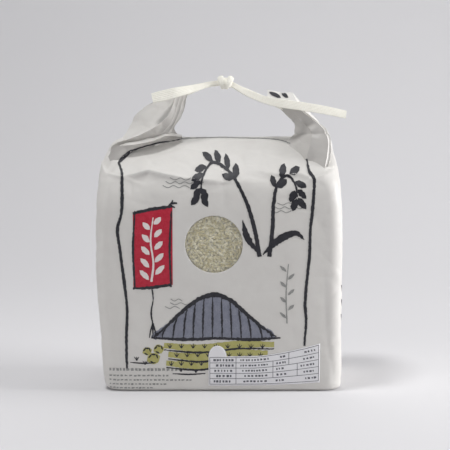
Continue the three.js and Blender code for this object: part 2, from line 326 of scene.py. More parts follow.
@dataclass(frozen=True)
class WhiteKraft:
    """Bleached kraft paper with a faint sheen: cloudy pulp, fine fibres, and rice pressing from inside."""

    name: str = "white_kraft_paper"
    sheet: str = "#dcdad6"
    cloud: str = "#d2cfcb"
    fibre_mm: float = 0.7
    cloud_mm: float = 14.0
    grain_mm: float = 4.2
    roughness: float = 0.42

    def material(self) -> bpy.types.Material:
        """Build the paper.

        Returns:
            The material.
        """
        material, tree, out = blank_material(self.name)
        place = add_node(tree, "ShaderNodeTexCoord").outputs["Object"]
        cloud = add_node(tree, "ShaderNodeTexNoise", {
            "Vector": place, "Scale": scale_of(self.cloud_mm), "Detail": 3.0, "Roughness": 0.6})
        colour = add_node(tree, "ShaderNodeMix", {
            0: cloud.outputs["Fac"], 6: linear(self.sheet), 7: linear(self.cloud)}, data_type="RGBA")
        fibre = add_node(tree, "ShaderNodeTexNoise", {
            "Vector": place, "Scale": scale_of(self.fibre_mm), "Detail": 2.0})
        grain = add_node(tree, "ShaderNodeTexVoronoi", {
            "Vector": place, "Scale": scale_of(self.grain_mm)}, feature="SMOOTH_F1")
        mid = add_node(tree, "ShaderNodeBump", {
            "Height": grain.outputs["Distance"], "Strength": 0.2, "Distance": 0.12 * MM,
            "Normal": cockled(tree, place)})
        fine = add_node(tree, "ShaderNodeBump", {
            "Height": fibre.outputs["Fac"], "Strength": 0.25, "Distance": 0.05 * MM,
            "Normal": mid.outputs["Normal"]})
        shader = add_node(tree, "ShaderNodeBsdfPrincipled", {
            "Base Color": colour.outputs[2], "Roughness": self.roughness, "Specular IOR Level": 0.4,
            "Normal": fine.outputs["Normal"]})
        tree.links.new(shader.outputs[0], out.inputs["Surface"])
        return material


@dataclass(frozen=True)
class PrintedInk:
    """Flexo printing ink: a matt film that shows the paper's cloud, thinner where the pad pressed less."""

    name: str
    full: str
    thin: str
    patch_mm: float = 6.0
    speck_mm: float = 0.8
    roughness: float = 0.5

    def material(self) -> bpy.types.Material:
        """Build the ink.

        Returns:
            The material.
        """
        material, tree, out = blank_material(self.name)
        place = add_node(tree, "ShaderNodeTexCoord").outputs["Object"]
        patch = add_node(tree, "ShaderNodeTexNoise", {
            "Vector": place, "Scale": scale_of(self.patch_mm), "Detail": 3.0, "Roughness": 0.65})
        speck = add_node(tree, "ShaderNodeTexNoise", {"Vector": place, "Scale": scale_of(self.speck_mm)})
        both = add_node(tree, "ShaderNodeMath", {
            0: patch.outputs["Fac"], 1: speck.outputs["Fac"]}, operation="MULTIPLY")
        share = add_node(tree, "ShaderNodeMapRange", {
            "Value": both.outputs[0], "From Min": 0.12, "From Max": 0.45})
        colour = add_node(tree, "ShaderNodeMix", {
            0: share.outputs["Result"], 6: linear(self.full), 7: linear(self.thin)}, data_type="RGBA")
        shader = add_node(tree, "ShaderNodeBsdfPrincipled", {
            "Base Color": colour.outputs[2], "Roughness": self.roughness, "Specular IOR Level": 0.4,
            "Normal": cockled(tree, place)})
        tree.links.new(shader.outputs[0], out.inputs["Surface"])
        return material


@dataclass(frozen=True)
class PaperCord:
    """Twisted paper cords glued side by side: cream, dry, with a fine slanting twist whose grooves are painted
    darker as shade.
    """

    name: str = "twisted_paper_band"
    cord: str = "#fcfbf6"
    # colour of the painted shade in the twist's grooves, also used in random patches of tone
    groove: str = "#efece0"
    twist_mm: float = 0.9
    roughness: float = 0.6

    def material(self) -> bpy.types.Material:
        """Build the band's paper.

        Returns:
            The material.
        """
        material, tree, out = blank_material(self.name)
        sheet = add_node(tree, "ShaderNodeTexCoord").outputs["UV"]
        turned = add_node(tree, "ShaderNodeMapping", {"Vector": sheet, "Rotation": (0.0, 0.0, 0.5)})
        twist = add_node(tree, "ShaderNodeTexWave", {
            "Vector": turned.outputs[0], "Scale": scale_of(self.twist_mm) / 6.28, "Distortion": 2.5,
            "Detail": 2.0, "Detail Scale": 1.5}, bands_direction="Y")
        patch = add_node(tree, "ShaderNodeTexNoise", {"Vector": sheet, "Scale": scale_of(9.0), "Detail": 2.0})
        both = add_node(tree, "ShaderNodeMath", {
            0: twist.outputs["Fac"], 1: patch.outputs["Fac"]}, operation="MULTIPLY")
        # painted shade: darker where the twist sinks into its grooves, mixed with random patches of tone
        colour = add_node(tree, "ShaderNodeMix", {
            0: both.outputs[0], 6: linear(self.groove), 7: linear(self.cord)}, data_type="RGBA")
        bump = add_node(tree, "ShaderNodeBump", {
            "Height": twist.outputs["Fac"], "Strength": 0.4, "Distance": 0.15 * MM})
        shader = add_node(tree, "ShaderNodeBsdfPrincipled", {
            "Base Color": colour.outputs[2], "Roughness": self.roughness, "Specular IOR Level": 0.35,
            "Normal": bump.outputs["Normal"]})
        tree.links.new(shader.outputs[0], out.inputs["Surface"])
        return material


@dataclass(frozen=True)
class MilledRice:
    """Milled short-grain rice: cream and slightly see-through, with chalky white patches in some grains."""

    name: str = "milled_rice"
    body: str = "#bdb17c"
    chalk: str = "#e6dfc0"
    grain_mm: float = 4.0
    roughness: float = 0.38

    def material(self) -> bpy.types.Material:
        """Build the grain.

        Returns:
            The material.
        """
        material, tree, out = blank_material(self.name)
        place = add_node(tree, "ShaderNodeTexCoord").outputs["Object"]
        patch = add_node(tree, "ShaderNodeTexNoise", {
            "Vector": place, "Scale": scale_of(self.grain_mm), "Detail": 1.0})
        share = add_node(tree, "ShaderNodeMapRange", {
            "Value": patch.outputs["Fac"], "From Min": 0.42, "From Max": 0.66})
        colour = add_node(tree, "ShaderNodeMix", {
            0: share.outputs["Result"], 6: linear(self.body), 7: linear(self.chalk)}, data_type="RGBA")
        shader = add_node(tree, "ShaderNodeBsdfPrincipled", {
            "Base Color": colour.outputs[2], "Roughness": self.roughness, "Subsurface Weight": 0.25,
            "Subsurface Radius": (1.0, 0.85, 0.55), "Subsurface Scale": 0.8 * MM})
        tree.links.new(shader.outputs[0], out.inputs["Surface"])
        return material


@dataclass(frozen=True)
class ClearFilm:
    """Thin clear polypropylene: almost unseen, a little hazy, with sharp glints where it wrinkles."""

    name: str = "clear_film"
    haze: str = "#f2f2ee"
    roughness: float = 0.12
    alpha: float = 0.14
    wrinkle_mm: float = 16.0

    def material(self) -> bpy.types.Material:
        """Build the film.

        Returns:
            The material.
        """
        material, tree, out = blank_material(self.name)
        place = add_node(tree, "ShaderNodeTexCoord").outputs["Object"]
        wrinkle = add_node(tree, "ShaderNodeTexNoise", {
            "Vector": place, "Scale": scale_of(self.wrinkle_mm), "Detail": 1.0})
        bump = add_node(tree, "ShaderNodeBump", {
            "Height": wrinkle.outputs["Fac"], "Strength": 0.6, "Distance": 1.2 * MM})
        shader = add_node(tree, "ShaderNodeBsdfPrincipled", {
            "Base Color": linear(self.haze), "Roughness": self.roughness, "Alpha": self.alpha,
            "Specular IOR Level": 0.8, "Normal": bump.outputs["Normal"]})
        tree.links.new(shader.outputs[0], out.inputs["Surface"])
        return material


@dataclass(frozen=True)
class StickerPaper:
    """Coated label paper: a cooler, smoother white than the sack, with a low gloss."""

    name: str = "coated_label_paper"
    face: str = "#eeedf0"
    shade: str = "#e4e3e6"
    roughness: float = 0.36
    cloud_mm: float = 18.0

    def material(self) -> bpy.types.Material:
        """Build the label's paper.

        Returns:
            The material.
        """
        material, tree, out = blank_material(self.name)
        place = add_node(tree, "ShaderNodeTexCoord").outputs["Object"]
        cloud = add_node(tree, "ShaderNodeTexNoise", {
            "Vector": place, "Scale": scale_of(self.cloud_mm), "Detail": 2.0})
        colour = add_node(tree, "ShaderNodeMix", {
            0: cloud.outputs["Fac"], 6: linear(self.face), 7: linear(self.shade)}, data_type="RGBA")
        shader = add_node(tree, "ShaderNodeBsdfPrincipled", {
            "Base Color": colour.outputs[2], "Roughness": self.roughness,
            "Normal": cockled(tree, place, 0.35)})
        tree.links.new(shader.outputs[0], out.inputs["Surface"])
        return material


@dataclass(frozen=True)
class StudioPaper:
    """The seamless pale paper that the sack stands on."""

    name: str = "studio_paper"
    tone: str = "#dddcde"
    roughness: float = 0.85

    def material(self) -> bpy.types.Material:
        """Build the studio floor.

        Returns:
            The material.
        """
        material, tree, out = blank_material(self.name)
        shader = add_node(tree, "ShaderNodeBsdfPrincipled", {
            "Base Color": linear(self.tone), "Roughness": self.roughness, "Specular IOR Level": 0.2})
        tree.links.new(shader.outputs[0], out.inputs["Surface"])
        return material


# The sack's paper

@dataclass(frozen=True)
class Dent:
    """A place where the filled paper is pressed in."""

    at: tuple[float, float, float]
    reach: float
    depth: float


@dataclass(frozen=True)
class Fold:
    """A crease through places in x and z: a ridge or a valley, with the paper on its left pressed in."""

    line: tuple[tuple[float, float], ...]
    height: float
    width: float
    step: float = 0.0
    reach: float = 9.0
    front: bool = True

    def lift(self, x: float, z: float) -> float:
        """How far the fold moves the paper outward at a place.

        Args:
            x: place across in millimetres.
            z: height in millimetres.

        Returns:
            The move in millimetres, negative inward.
        """
        margin = 4 * max(self.width, self.reach if self.step else 0.0)
        xs, zs = zip(*self.line)
        if not (min(xs) - margin < x < max(xs) + margin and min(zs) - margin < z < max(zs) + margin):
            return 0.0
        best, share, side = math.inf, 0.0, 0.0
        for i, ((x0, z0), (x1, z1)) in enumerate(zip(self.line, self.line[1:])):
            dx, dz = x1 - x0, z1 - z0
            along = max(0.0, min(1.0, ((x - x0) * dx + (z - z0) * dz) / (dx * dx + dz * dz)))
            away = math.hypot(x - x0 - dx * along, z - z0 - dz * along)
            if away < best:
                best, share = away, (i + along) / (len(self.line) - 1)
                side = dx * (z - z0) - dz * (x - x0)
        taper = math.sin(math.pi * (0.12 + 0.76 * share))
        lift = self.height * math.exp(-best / self.width)
        if side > 0:
            lift -= self.step * (1 - math.exp(-best / 1.5)) * math.exp(-((best / self.reach) ** 2))
        return lift * taper


@dataclass
class SackForm:
    """The filled sack's form: one ring of paper at each height, drawn together into a ridge."""

    width: float = 234.0
    depth: float = 122.0
    bow: float = 3.5
    height: float = 238.0
    heights: tuple[float, ...] = (0, 2, 8, 30, 62, 90, 112, 172, 190, 200, 210, 219, 228, 234.5, 238)
    narrow: tuple[float, ...] = (7, 4.6, 3.4, 2.5, 2, 0.8, 0.2, 0.8, 1.8, 2.6, 3.6, 5.4, 10, 16, 24)
    thin: tuple[float, ...] = (8, 4.6, 2.6, 1.2, 0.6, 0.2, 0, 0.2, 1.4, 4, 12, 25, 40, 51, 57)
    corner: tuple[float, ...] = (16, 16, 15, 13, 12, 12, 12, 12, 14, 16, 18, 17, 12, 7, 3)
    shift: tuple[float, ...] = (4, 4, 3.6, 2.6, 1.5, 0.6, 0, 0, 0, 0, 0, 0.4, 0.6, 0.8, 1)
    dents: tuple[Dent, ...] = (
        Dent((116, 0, 72), 20, 3.2), Dent((-74, -58, 197), 17, 2.2), Dent((-116, 6, 176), 26, 1.6),
        Dent((20, 60, 96), 40, 1.8),
    )
    graded: dict[str, Graded] = field(default_factory=dict)

    def __post_init__(self) -> None:
        """Prepare the smooth changes with height."""
        for name in ("narrow", "thin", "corner", "shift"):
            self.graded[name] = Graded(self.heights, getattr(self, name))
        steps = 400
        lengths, levels = [0.0], [0.0]
        before = self.ring(0.0, 0.0)
        for i in range(1, steps + 1):
            z = self.height * i / steps
            now = self.ring(0.0, z)
            lengths.append(lengths[-1] + (now - before).length)
            levels.append(z)
            before = now
        self.sheet_height = lengths[-1]
        self.lengths, self.levels = lengths, levels

    def level_at(self, share: float) -> float:
        """The height above the table at a share of the way up the paper.

        Args:
            share: 0 at the base, 1 at the ridge, measured along the paper.

        Returns:
            The height in millimetres.
        """
        target = share * self.sheet_height
        low, high = 0, len(self.lengths) - 1
        while high - low > 1:
            mid = (low + high) // 2
            if self.lengths[mid] <= target:
                low = mid
            else:
                high = mid
        part = (target - self.lengths[low]) / (self.lengths[high] - self.lengths[low])
        return self.levels[low] + part * (self.levels[high] - self.levels[low])

    def ring(self, around: float, z: float) -> Vector:
        """A place on the paper before it is creased.

        Args:
            around: -1 to 1, 0 at the middle of the front and growing to the right.
            z: height in millimetres.

        Returns:
            The place in millimetres.
        """
        half_width = self.width / 2 - self.graded["narrow"](z)
        half_depth = self.depth / 2 - self.bow - self.graded["thin"](z)
        corner = min(self.graded["corner"](z), half_depth - 0.3)
        flat_x, flat_y = half_width - corner, half_depth - corner
        quarter = corner * math.pi / 4
        front_share = self.width / 2 / (self.width + self.depth)
        side_share = front_share + self.depth / (self.width + self.depth)
        a = abs(around)
        if a <= front_share or a >= side_share:
            facing = -1 if a <= front_share else 1
            t = a / front_share if facing < 0 else (1 - a) / (1 - side_share)
            s = t * (flat_x + quarter)
            turn = max(0.0, s - flat_x) / corner
            x = min(s, flat_x) + corner * math.sin(turn)
            y = facing * (flat_y + corner * math.cos(turn))
        else:
            s = (a - front_share) / (side_share - front_share) * 2 * (flat_y + quarter) - flat_y - quarter
            turn = max(0.0, abs(s) - flat_y) / corner
            x = flat_x + corner * math.cos(turn)
            y = math.copysign(min(abs(s), flat_y) + corner * math.sin(turn), s)
        fill = math.sin(math.pi * min(1.0, z / (self.height + 20)))
        edge = min(1.0, max(0.0, (abs(y) - flat_y) / corner))
        y += math.copysign(self.bow * fill * max(0.0, 1 - (x / half_width) ** 2) * edge, y)
        place = Vector((math.copysign(x, around) + self.graded["shift"](z), y, z))
        for dent in self.dents:
            centre = Vector(dent.at)
            pressed = dent.depth * math.exp(-(((place - centre).length / dent.reach) ** 2))
            if abs(centre.x) > 100:
                place.x -= math.copysign(pressed, centre.x)
            else:
                place.y -= math.copysign(pressed, centre.y)
        return place


@dataclass
class PaperSack:
    """The sack of one white kraft sheet, creased, with its round window cut through."""

    form: SackForm = field(default_factory=SackForm)
    columns: int = 432
    rows: int = 184
    window: tuple[float, float] = (-4.7, 142.7)
    window_radius: float = 27.0
    behind_radius: float = 31.0
    lip: float = 0.7
    recess: float = 7.5
    folds: tuple[Fold, ...] = (
        Fold(((-112, 216), (-106.7, 208.5), (-99, 207), (-91, 205.5), (-82, 203)), 1.5, 1.8, 2.4, 10),
        Fold(((86, 203.5), (96, 206), (109, 210.5)), 1.3, 1.8, 1.8, 9),
        Fold(((-2, 201), (-34, 203.5), (-56, 207.5), (-67, 210), (-82, 206.5), (-94, 206)),
             2.9, 3.8, 3.6, 13),
        Fold(((88, 203), (76, 208), (62, 207), (44, 209)), 1.1, 3.0, 2.0, 10),
        Fold(((-83, 202), (-82, 188)), -1.0, 1.7),
        Fold(((4.6, 233), (4.7, 171)), -0.8, 2.6),
        Fold(((-60, 222), (-30, 228), (2, 224)), 0.7, 2.4, 0.6, 7),
        Fold(((30, 226), (60, 219), (80, 224)), 0.7, 2.4, 0.6, 7),
        Fold(((-88, 186), (-66, 178), (-40, 184)), -0.6, 4.0),
        Fold(((52, 190), (88, 172), (100, 150)), -0.6, 4.0),
        Fold(((-108, 120), (-100, 70), (-92, 20)), -0.6, 5.0),
        Fold(((98, 120), (101, 70), (106, 24)), -0.7, 5.0),
        Fold(((-110, 12), (-60, 6), (0, 9), (70, 5), (108, 12)), -0.5, 3.0),
        Fold(((-70, 190), (-30, 120), (-24, 60)), -1.6, 6.0, 1.0, 14, False),
        Fold(((80, 182), (40, 110), (46, 30)), -1.6, 6.0, 1.0, 14, False),
        Fold(((-112, 204), (-40, 197), (44, 199), (112, 206)), 1.0, 3.4, 1.2, 10, False),
    )
    seam_x: float = -38.0
    seam_step: float = 0.45
    back_crumple: float = 0.85
    gusset_depth: float = 3.2

    def relief(self, place: Vector) -> float:
        """How far the paper stands out of its smooth form at a place.

        Args:
            place: a place on the form in millimetres.

        Returns:
            The height along the paper's outward side, in millimetres.
        """
        wild = 0.22 + 0.6 * max(ramp(place.z, 165, 205), ramp(place.z, 22, 0), ramp(abs(place.x), 84, 110))
        on_back = place.y > 20
        if on_back:
            wild = max(wild, self.back_crumple)
        large = creased(place, 46, Vector((3.1, 0.4, 7.7)), 0.16)
        small = creased(place, 19, Vector((9.3, 5.2, 1.1)), 0.2)
        swell = noise.noise(place / 58)
        depth = wild * (0.75 * large + 0.35 * small) + 0.7 * swell
        for fold in self.folds:
            if fold.front == (place.y < 0):
                depth += fold.lift(place.x, place.z)
        if on_back and place.x > self.seam_x:
            depth += self.seam_step
        if abs(place.x) > 100:
            spread = 4.0 + 0.16 * max(0.0, place.z - 150)
            depth -= self.gusset_depth * math.exp(-abs(place.y) / spread) * ramp(place.z, 232, 202)
        return depth

    def build(self, paper: bpy.types.Material) -> bpy.types.Object:
        """Fold the sheet, crease it, cut the window and dress it.

        Args:
            paper: the finish.

        Returns:
            The sack.
        """
        form = self.form
        size = (2 * (form.width + form.depth), form.sheet_height)
        bm = sheet_tube(
            self.columns, self.rows,
            lambda s, t: form.ring(2 * s - 1, form.level_at(t)), size=size,
        )
        bm.normal_update()
        window = Vector((self.window[0], 0, self.window[1]))
        moves = []
        for vert in bm.verts:
            place = vert.co / MM
            calm = 1.0
            if place.y < 0:
                from_window = (Vector((place.x, 0, place.z)) - window).length
                calm = ramp(from_window, self.behind_radius, self.behind_radius + 14)
            grounded = min(1.0, place.z / 3)
            moves.append(vert.normal * self.relief(place) * calm * grounded * MM)
        for vert, move in zip(bm.verts, moves):
            vert.co += move
        sack = to_object(bm, "paper_sack", 50)
        self.cut_window(sack)
        return fit(sack, paper, Slot.SACK, "sack")

    def front_at(self, x: float, z: float) -> float:
        """The depth of the front's smooth form at a place.

        Args:
            x: place across in millimetres.
            z: height in millimetres.

        Returns:
            The y of the paper in millimetres.
        """
        return self.form.ring(x / (self.form.width + self.form.depth), z).y

    def cut_window(self, sack: bpy.types.Object) -> None:
        """Cut the round hole through the paper and clear the room behind it.

        Args:
            sack: the closed sack.
        """
        x, z = self.window
        front = self.front_at(x, z)
        bm = bmesh.new()
        profile = (
            (0.0, front - 6), (self.window_radius, front - 6), (self.window_radius, front + self.lip),
            (self.behind_radius, front + self.lip), (self.behind_radius, front + self.recess),
            (0.0, front + self.recess),
        )
        verts = [bm.verts.new(Vector((x + r, y, z)) * MM) for r, y in profile]
        edges = [bm.edges.new(pair) for pair in zip(verts, verts[1:])]
        bmesh.ops.spin(
            bm, geom=verts + edges, cent=Vector((x, 0, z)) * MM, axis=(0, 1, 0), dvec=(0, 0, 0),
            angle=2 * math.pi, steps=96, use_merge=True, use_duplicate=False,
        )
        bmesh.ops.remove_doubles(bm, verts=bm.verts, dist=0.002 * MM)
        bmesh.ops.recalc_face_normals(bm, faces=bm.faces)
        cutter = to_object(bm, "window_cutter")
        cut = sack.modifiers.new("window", "BOOLEAN")
        cut.operation = "DIFFERENCE"
        cut.solver = "EXACT"
        cut.object = cutter
        apply_modifiers(sack)
        bpy.data.objects.remove(cutter)


# Places along each fold, in millimetres, from where it leaves the sack to its far end

LEFT_HORN = {
    "outer": ((-106, -8, 206), (-106, -10, 222), (-92, 0, 238),
        (-86, 5, 248), (-80, 5, 259), (-62, 3, 273)),
    "valley": ((-104, -14, 206), (-106, -13, 226), (-87, -8, 237),
        (-72, -5, 246), (-63.5, -3, 256.5), (-51, -2, 275.5)),
    "crest": ((-98, -20, 208), (-103, -19, 230), (-80, -20, 239.5),
        (-60, -18, 249.5), (-48.5, -15, 260), (-39.5, -9, 282)),
    "fold": ((-80, -18, 210), (-84, -17, 226), (-68, -16, 234),
        (-54, -14, 243), (-44, -11, 256), (-36, -6, 282.5)),
    "lip": ((-60, -14, 214), (-62, -15, 230), (-54, -13, 236),
        (-47.5, -12, 244), (-39.5, -9, 257.5), (-32, -4, 283)),
    "inner": ((-40, -8, 222), (-36, -8, 236.5), (-39, -7, 240),
        (-42.5, -7, 247), (-35, -5, 259), (-28.5, -2, 283)),
    "back": ((-70, 18, 212), (-72, 18, 228), (-66, 21, 240),
        (-60, 20, 250), (-54, 16, 261), (-44, 8, 282)),
}
LEFT_PLEAT = {
    "rim": ((-105, -30, 222), (-99, -31, 231), (-82, -31, 233.2),
        (-65, -27, 235.8), (-50, -20, 240.6), (-35, -10, 239)),
    "front": ((-101, -31, 213), (-95, -31, 219), (-80, -22, 227),
        (-64, -15, 231.6), (-49, -9, 235.4), (-36, -6, 237)),
    "under": ((-98, -16, 212), (-92, -16, 216), (-78, -10, 224),
        (-62, -6, 229), (-48, -3, 233), (-37, -2, 235)),
    "top": ((-101, -15, 222), (-95, -15, 231.5), (-80, -14, 236.4),
        (-63, -12, 240), (-49, -8, 243.4), (-36, -5, 240.5)),
}
RIGHT_HORN = {
    "outer": ((106, -10, 206), (110, -8, 216), (109, 2, 230),
        (105.5, 5, 241), (94, 5, 254.5), (71, 8, 279.5)),
    "valley": ((103, -28, 203), (106, -22, 216), (107, -17, 233),
        (103.5, -11, 244), (92, -4, 254.5), (77.5, -4, 268)),
    "crest": ((98, -44, 203), (103, -38, 213), (106, -31, 234.5),
        (102.5, -23.5, 247), (91, -14, 256), (75, -10, 268.5)),
    "ridge": ((94, -46, 203), (99, -41, 212), (103, -34, 235),
        (99.5, -25, 247.5), (88, -15.5, 256.5), (71.5, -10, 269)),
    "lip": ((84, -44, 205), (82, -34, 218), (86, -27, 234),
        (87, -21, 245), (77, -8, 254.5), (60, -4, 272)),
    "inner": ((66, -16, 224), (64, -11, 232), (70, -5, 241.5),
        (72.5, -2, 248), (66.5, 1, 256.5), (45, 1, 275)),
    "back": ((88, 18, 212), (90, 18, 228), (90, 20, 240),
        (86, 19, 250), (74, 15, 263), (46, 8, 283)),
}


@dataclass(frozen=True)
class Pinch:
    """A fold across a flap: the paper sinks along a plane through a place."""

    at: tuple[float, float, float]
    way: tuple[float, float, float]
    depth: float
    width: float

    def sink(self, place: Vector) -> float:
        """How far the paper sinks at a place, in millimetres."""
        return self.depth * math.exp(-abs((place - Vector(self.at)).dot(Vector(self.way))) / self.width)


@dataclass
class FoldedFlap:
    """A folded end of the mouth, its skin stretched between folds in the order they lie round it.

    Between each fold in shade_after and the next one, a greyer copy of the paper is painted shade.
    """

    name: str
    folds: dict[str, tuple]
    shade_after: tuple[str, ...] = ()
    pinches: tuple[Pinch, ...] = ()
    cells: int = 10
    rows: int = 84
    hollow: float = 0.06
    crumple: float = 0.8
    seed: float = 0.0
    girth: float = 150.0
    reach: float = 110.0

    def place(self, around: float, along: float) -> Vector:
        """A place on the flap's skin.

        Args:
            around: 0 to 1 round the flap, from its first fold.
            along: 0 at the shoulder, 1 at the tip.

        Returns:
            The place in millimetres.
        """
        corners = [through([Vector(p) for p in line], along) for line in self.folds.values()]
        centre = sum(corners, Vector()) / len(corners)
        at = around * len(corners)
        first = int(at) % len(corners)
        part = at - int(at)
        here = corners[first].lerp(corners[(first + 1) % len(corners)], part)
        sink = self.hollow * 4 * part * (1 - part)
        return here.lerp(centre, sink)

    def build(self, paper: bpy.types.Material, painted_shade_ply: bpy.types.Material) -> bpy.types.Object:
        """Fold the flap, crumple it and dress it.

        Args:
            paper: the finish of the rest of the skin.
            painted_shade_ply: a greyer copy of the paper, painted shade for the faces that face the handle.

        Returns:
            The flap.
        """
        names = list(self.folds)
        bm = sheet_tube(len(names) * self.cells, self.rows, self.place, size=(self.girth, self.reach))
        sheet = bm.loops.layers.uv["sheet"]
        for face in bm.faces:
            share = sum(loop[sheet].uv.x for loop in face.loops) / len(face.loops) / (self.girth * MM)
            after = names[min(int(share * len(names)), len(names) - 1)]
            # faces after a fold in shade_after take the greyer paper: painted shade
            face.material_index = int(after in self.shade_after and len(face.verts) < 5)
        bm.normal_update()
        moves = []
        for vert in bm.verts:
            place = vert.co / MM
            facet = creased(place, 17, Vector((self.seed, 0, 2)), 0.18)
            pleat = noise.noise(Vector((place.x / 8, place.y / 8, place.z / 34 + self.seed)))
            sunk = sum(pinch.sink(place) for pinch in self.pinches)
            moves.append(vert.normal * (self.crumple * facet + 0.6 * pleat - sunk) * MM)
        for vert, move in zip(bm.verts, moves):
            vert.co += move
        flap = fit(to_object(bm, self.name, 20), paper, Slot.SACK, "sack")
        flap.data.materials.append(painted_shade_ply)
        return flap


@dataclass
class MouthRoll:
    """The mouth rolled flat on the back slope, with the edge of its last lap along it."""

    left: float = -96.0
    right: float = 100.0
    width: float = 40.0
    thickness: float = 12.0
    lap: float = 1.6
    centre: tuple[float, float] = (23.5, 221.8)
    slope: float = math.atan2(38.0, 55.0)
    columns: int = 96
    rows: int = 120

    def outline(self, around: float) -> tuple[float, float]:
        """The roll's section.

        Args:
            around: 0 to 1 round the section.

        Returns:
            How far down the slope and how far out of it, in millimetres.
        """
        half, thick = self.width / 2, self.thickness / 2
        step = self.lap if 0.5 < around < 0.72 else 0.0
        angle = around * 2 * math.pi
        across = math.copysign(abs(math.cos(angle)) ** 0.35, math.cos(angle)) * half
        out = math.copysign(abs(math.sin(angle)) ** 0.62, math.sin(angle)) * thick
        return across, out + step * 0.4

    def place(self, around: float, along: float) -> Vector:
        """A place on the roll's skin.

        Args:
            around: 0 to 1 round the section.
            along: 0 at the left end, 1 at the right.

        Returns:
            The place in millimetres.
        """
        t = 2 * along - 1
        end = max(0.0, abs(t) - 0.62) / 0.38
        scale = 1 - 0.45 * end * end
        across, out = self.outline(around)
        middle = (self.left + self.right) / 2 + t * (self.right - self.left) / 2
        down = Vector((0, math.cos(self.slope), -math.sin(self.slope)))
        up = Vector((0, math.sin(self.slope), math.cos(self.slope)))
        sag = 0.8 * noise.noise(Vector((middle / 30, across / 18, 4)))
        centre = Vector((middle, self.centre[0] - 7 * end, self.centre[1] + 2 * end))
        return centre + down * across * scale + up * (out * scale + sag)

    def build(self, paper: bpy.types.Material) -> bpy.types.Object:
        """Roll the mouth and dress it.

        Args:
            paper: the finish.

        Returns:
            The roll.
        """
        bm = sheet_tube(self.columns, self.rows, self.place, size=(105, 196))
        return fit(to_object(bm, "mouth_roll", 40), paper, Slot.SACK, "sack")


# The tie

@dataclass(frozen=True)
class Band:
    """A stretch of the flat tie: its route with a width and a thickness at each point."""

    name: str
    points: tuple
    widths: tuple[float, ...]
    thicknesses: tuple[float, ...]


TIE_BANDS = (
    Band("tie_left_tail",
         ((-63.5, -16, 276), (-51, -16, 279), (-39, -15, 282), (-24, -9, 285), (-8, -2, 288.8), (3, 0, 290)),
         (10.2, 11.2, 10, 7.8, 4.8, 4.6), (1.3, 1.3, 1.3, 1.8, 2.8, 3)),
    Band("tie_right_tail",
         ((121, -13, 260.2), (101, -15, 264.6), (79, -15.5, 268.2), (60, -14, 270.9), (46, -9, 273.4),
          (28, -1.5, 279.6), (14, 0, 287), (8, 0, 290)),
         (8.2, 8.6, 9, 9, 7.8, 7, 5.6, 5), (1.3, 1.3, 1.3, 1.3, 1.3, 1.8, 2.6, 3)),
    Band("tie_left_span",
         ((-42, 0, 276), (-29, 0, 281), (-12, 1, 287), (4, 1.5, 289.5)),
         (6, 6, 4.6, 4.6), (1.3, 1.3, 2.4, 2.4)),
    Band("tie_right_span",
         ((62, 1, 266), (48, 1, 272), (28, 2, 280.5), (8, 1.5, 289)),
         (6, 6, 6, 4.6), (1.3, 1.3, 1.8, 2.4)),
)


@dataclass(frozen=True)
class Turn:
    """One turn of the band round the knot."""

    offset: float
    lean: float
    radius: float
    width: float


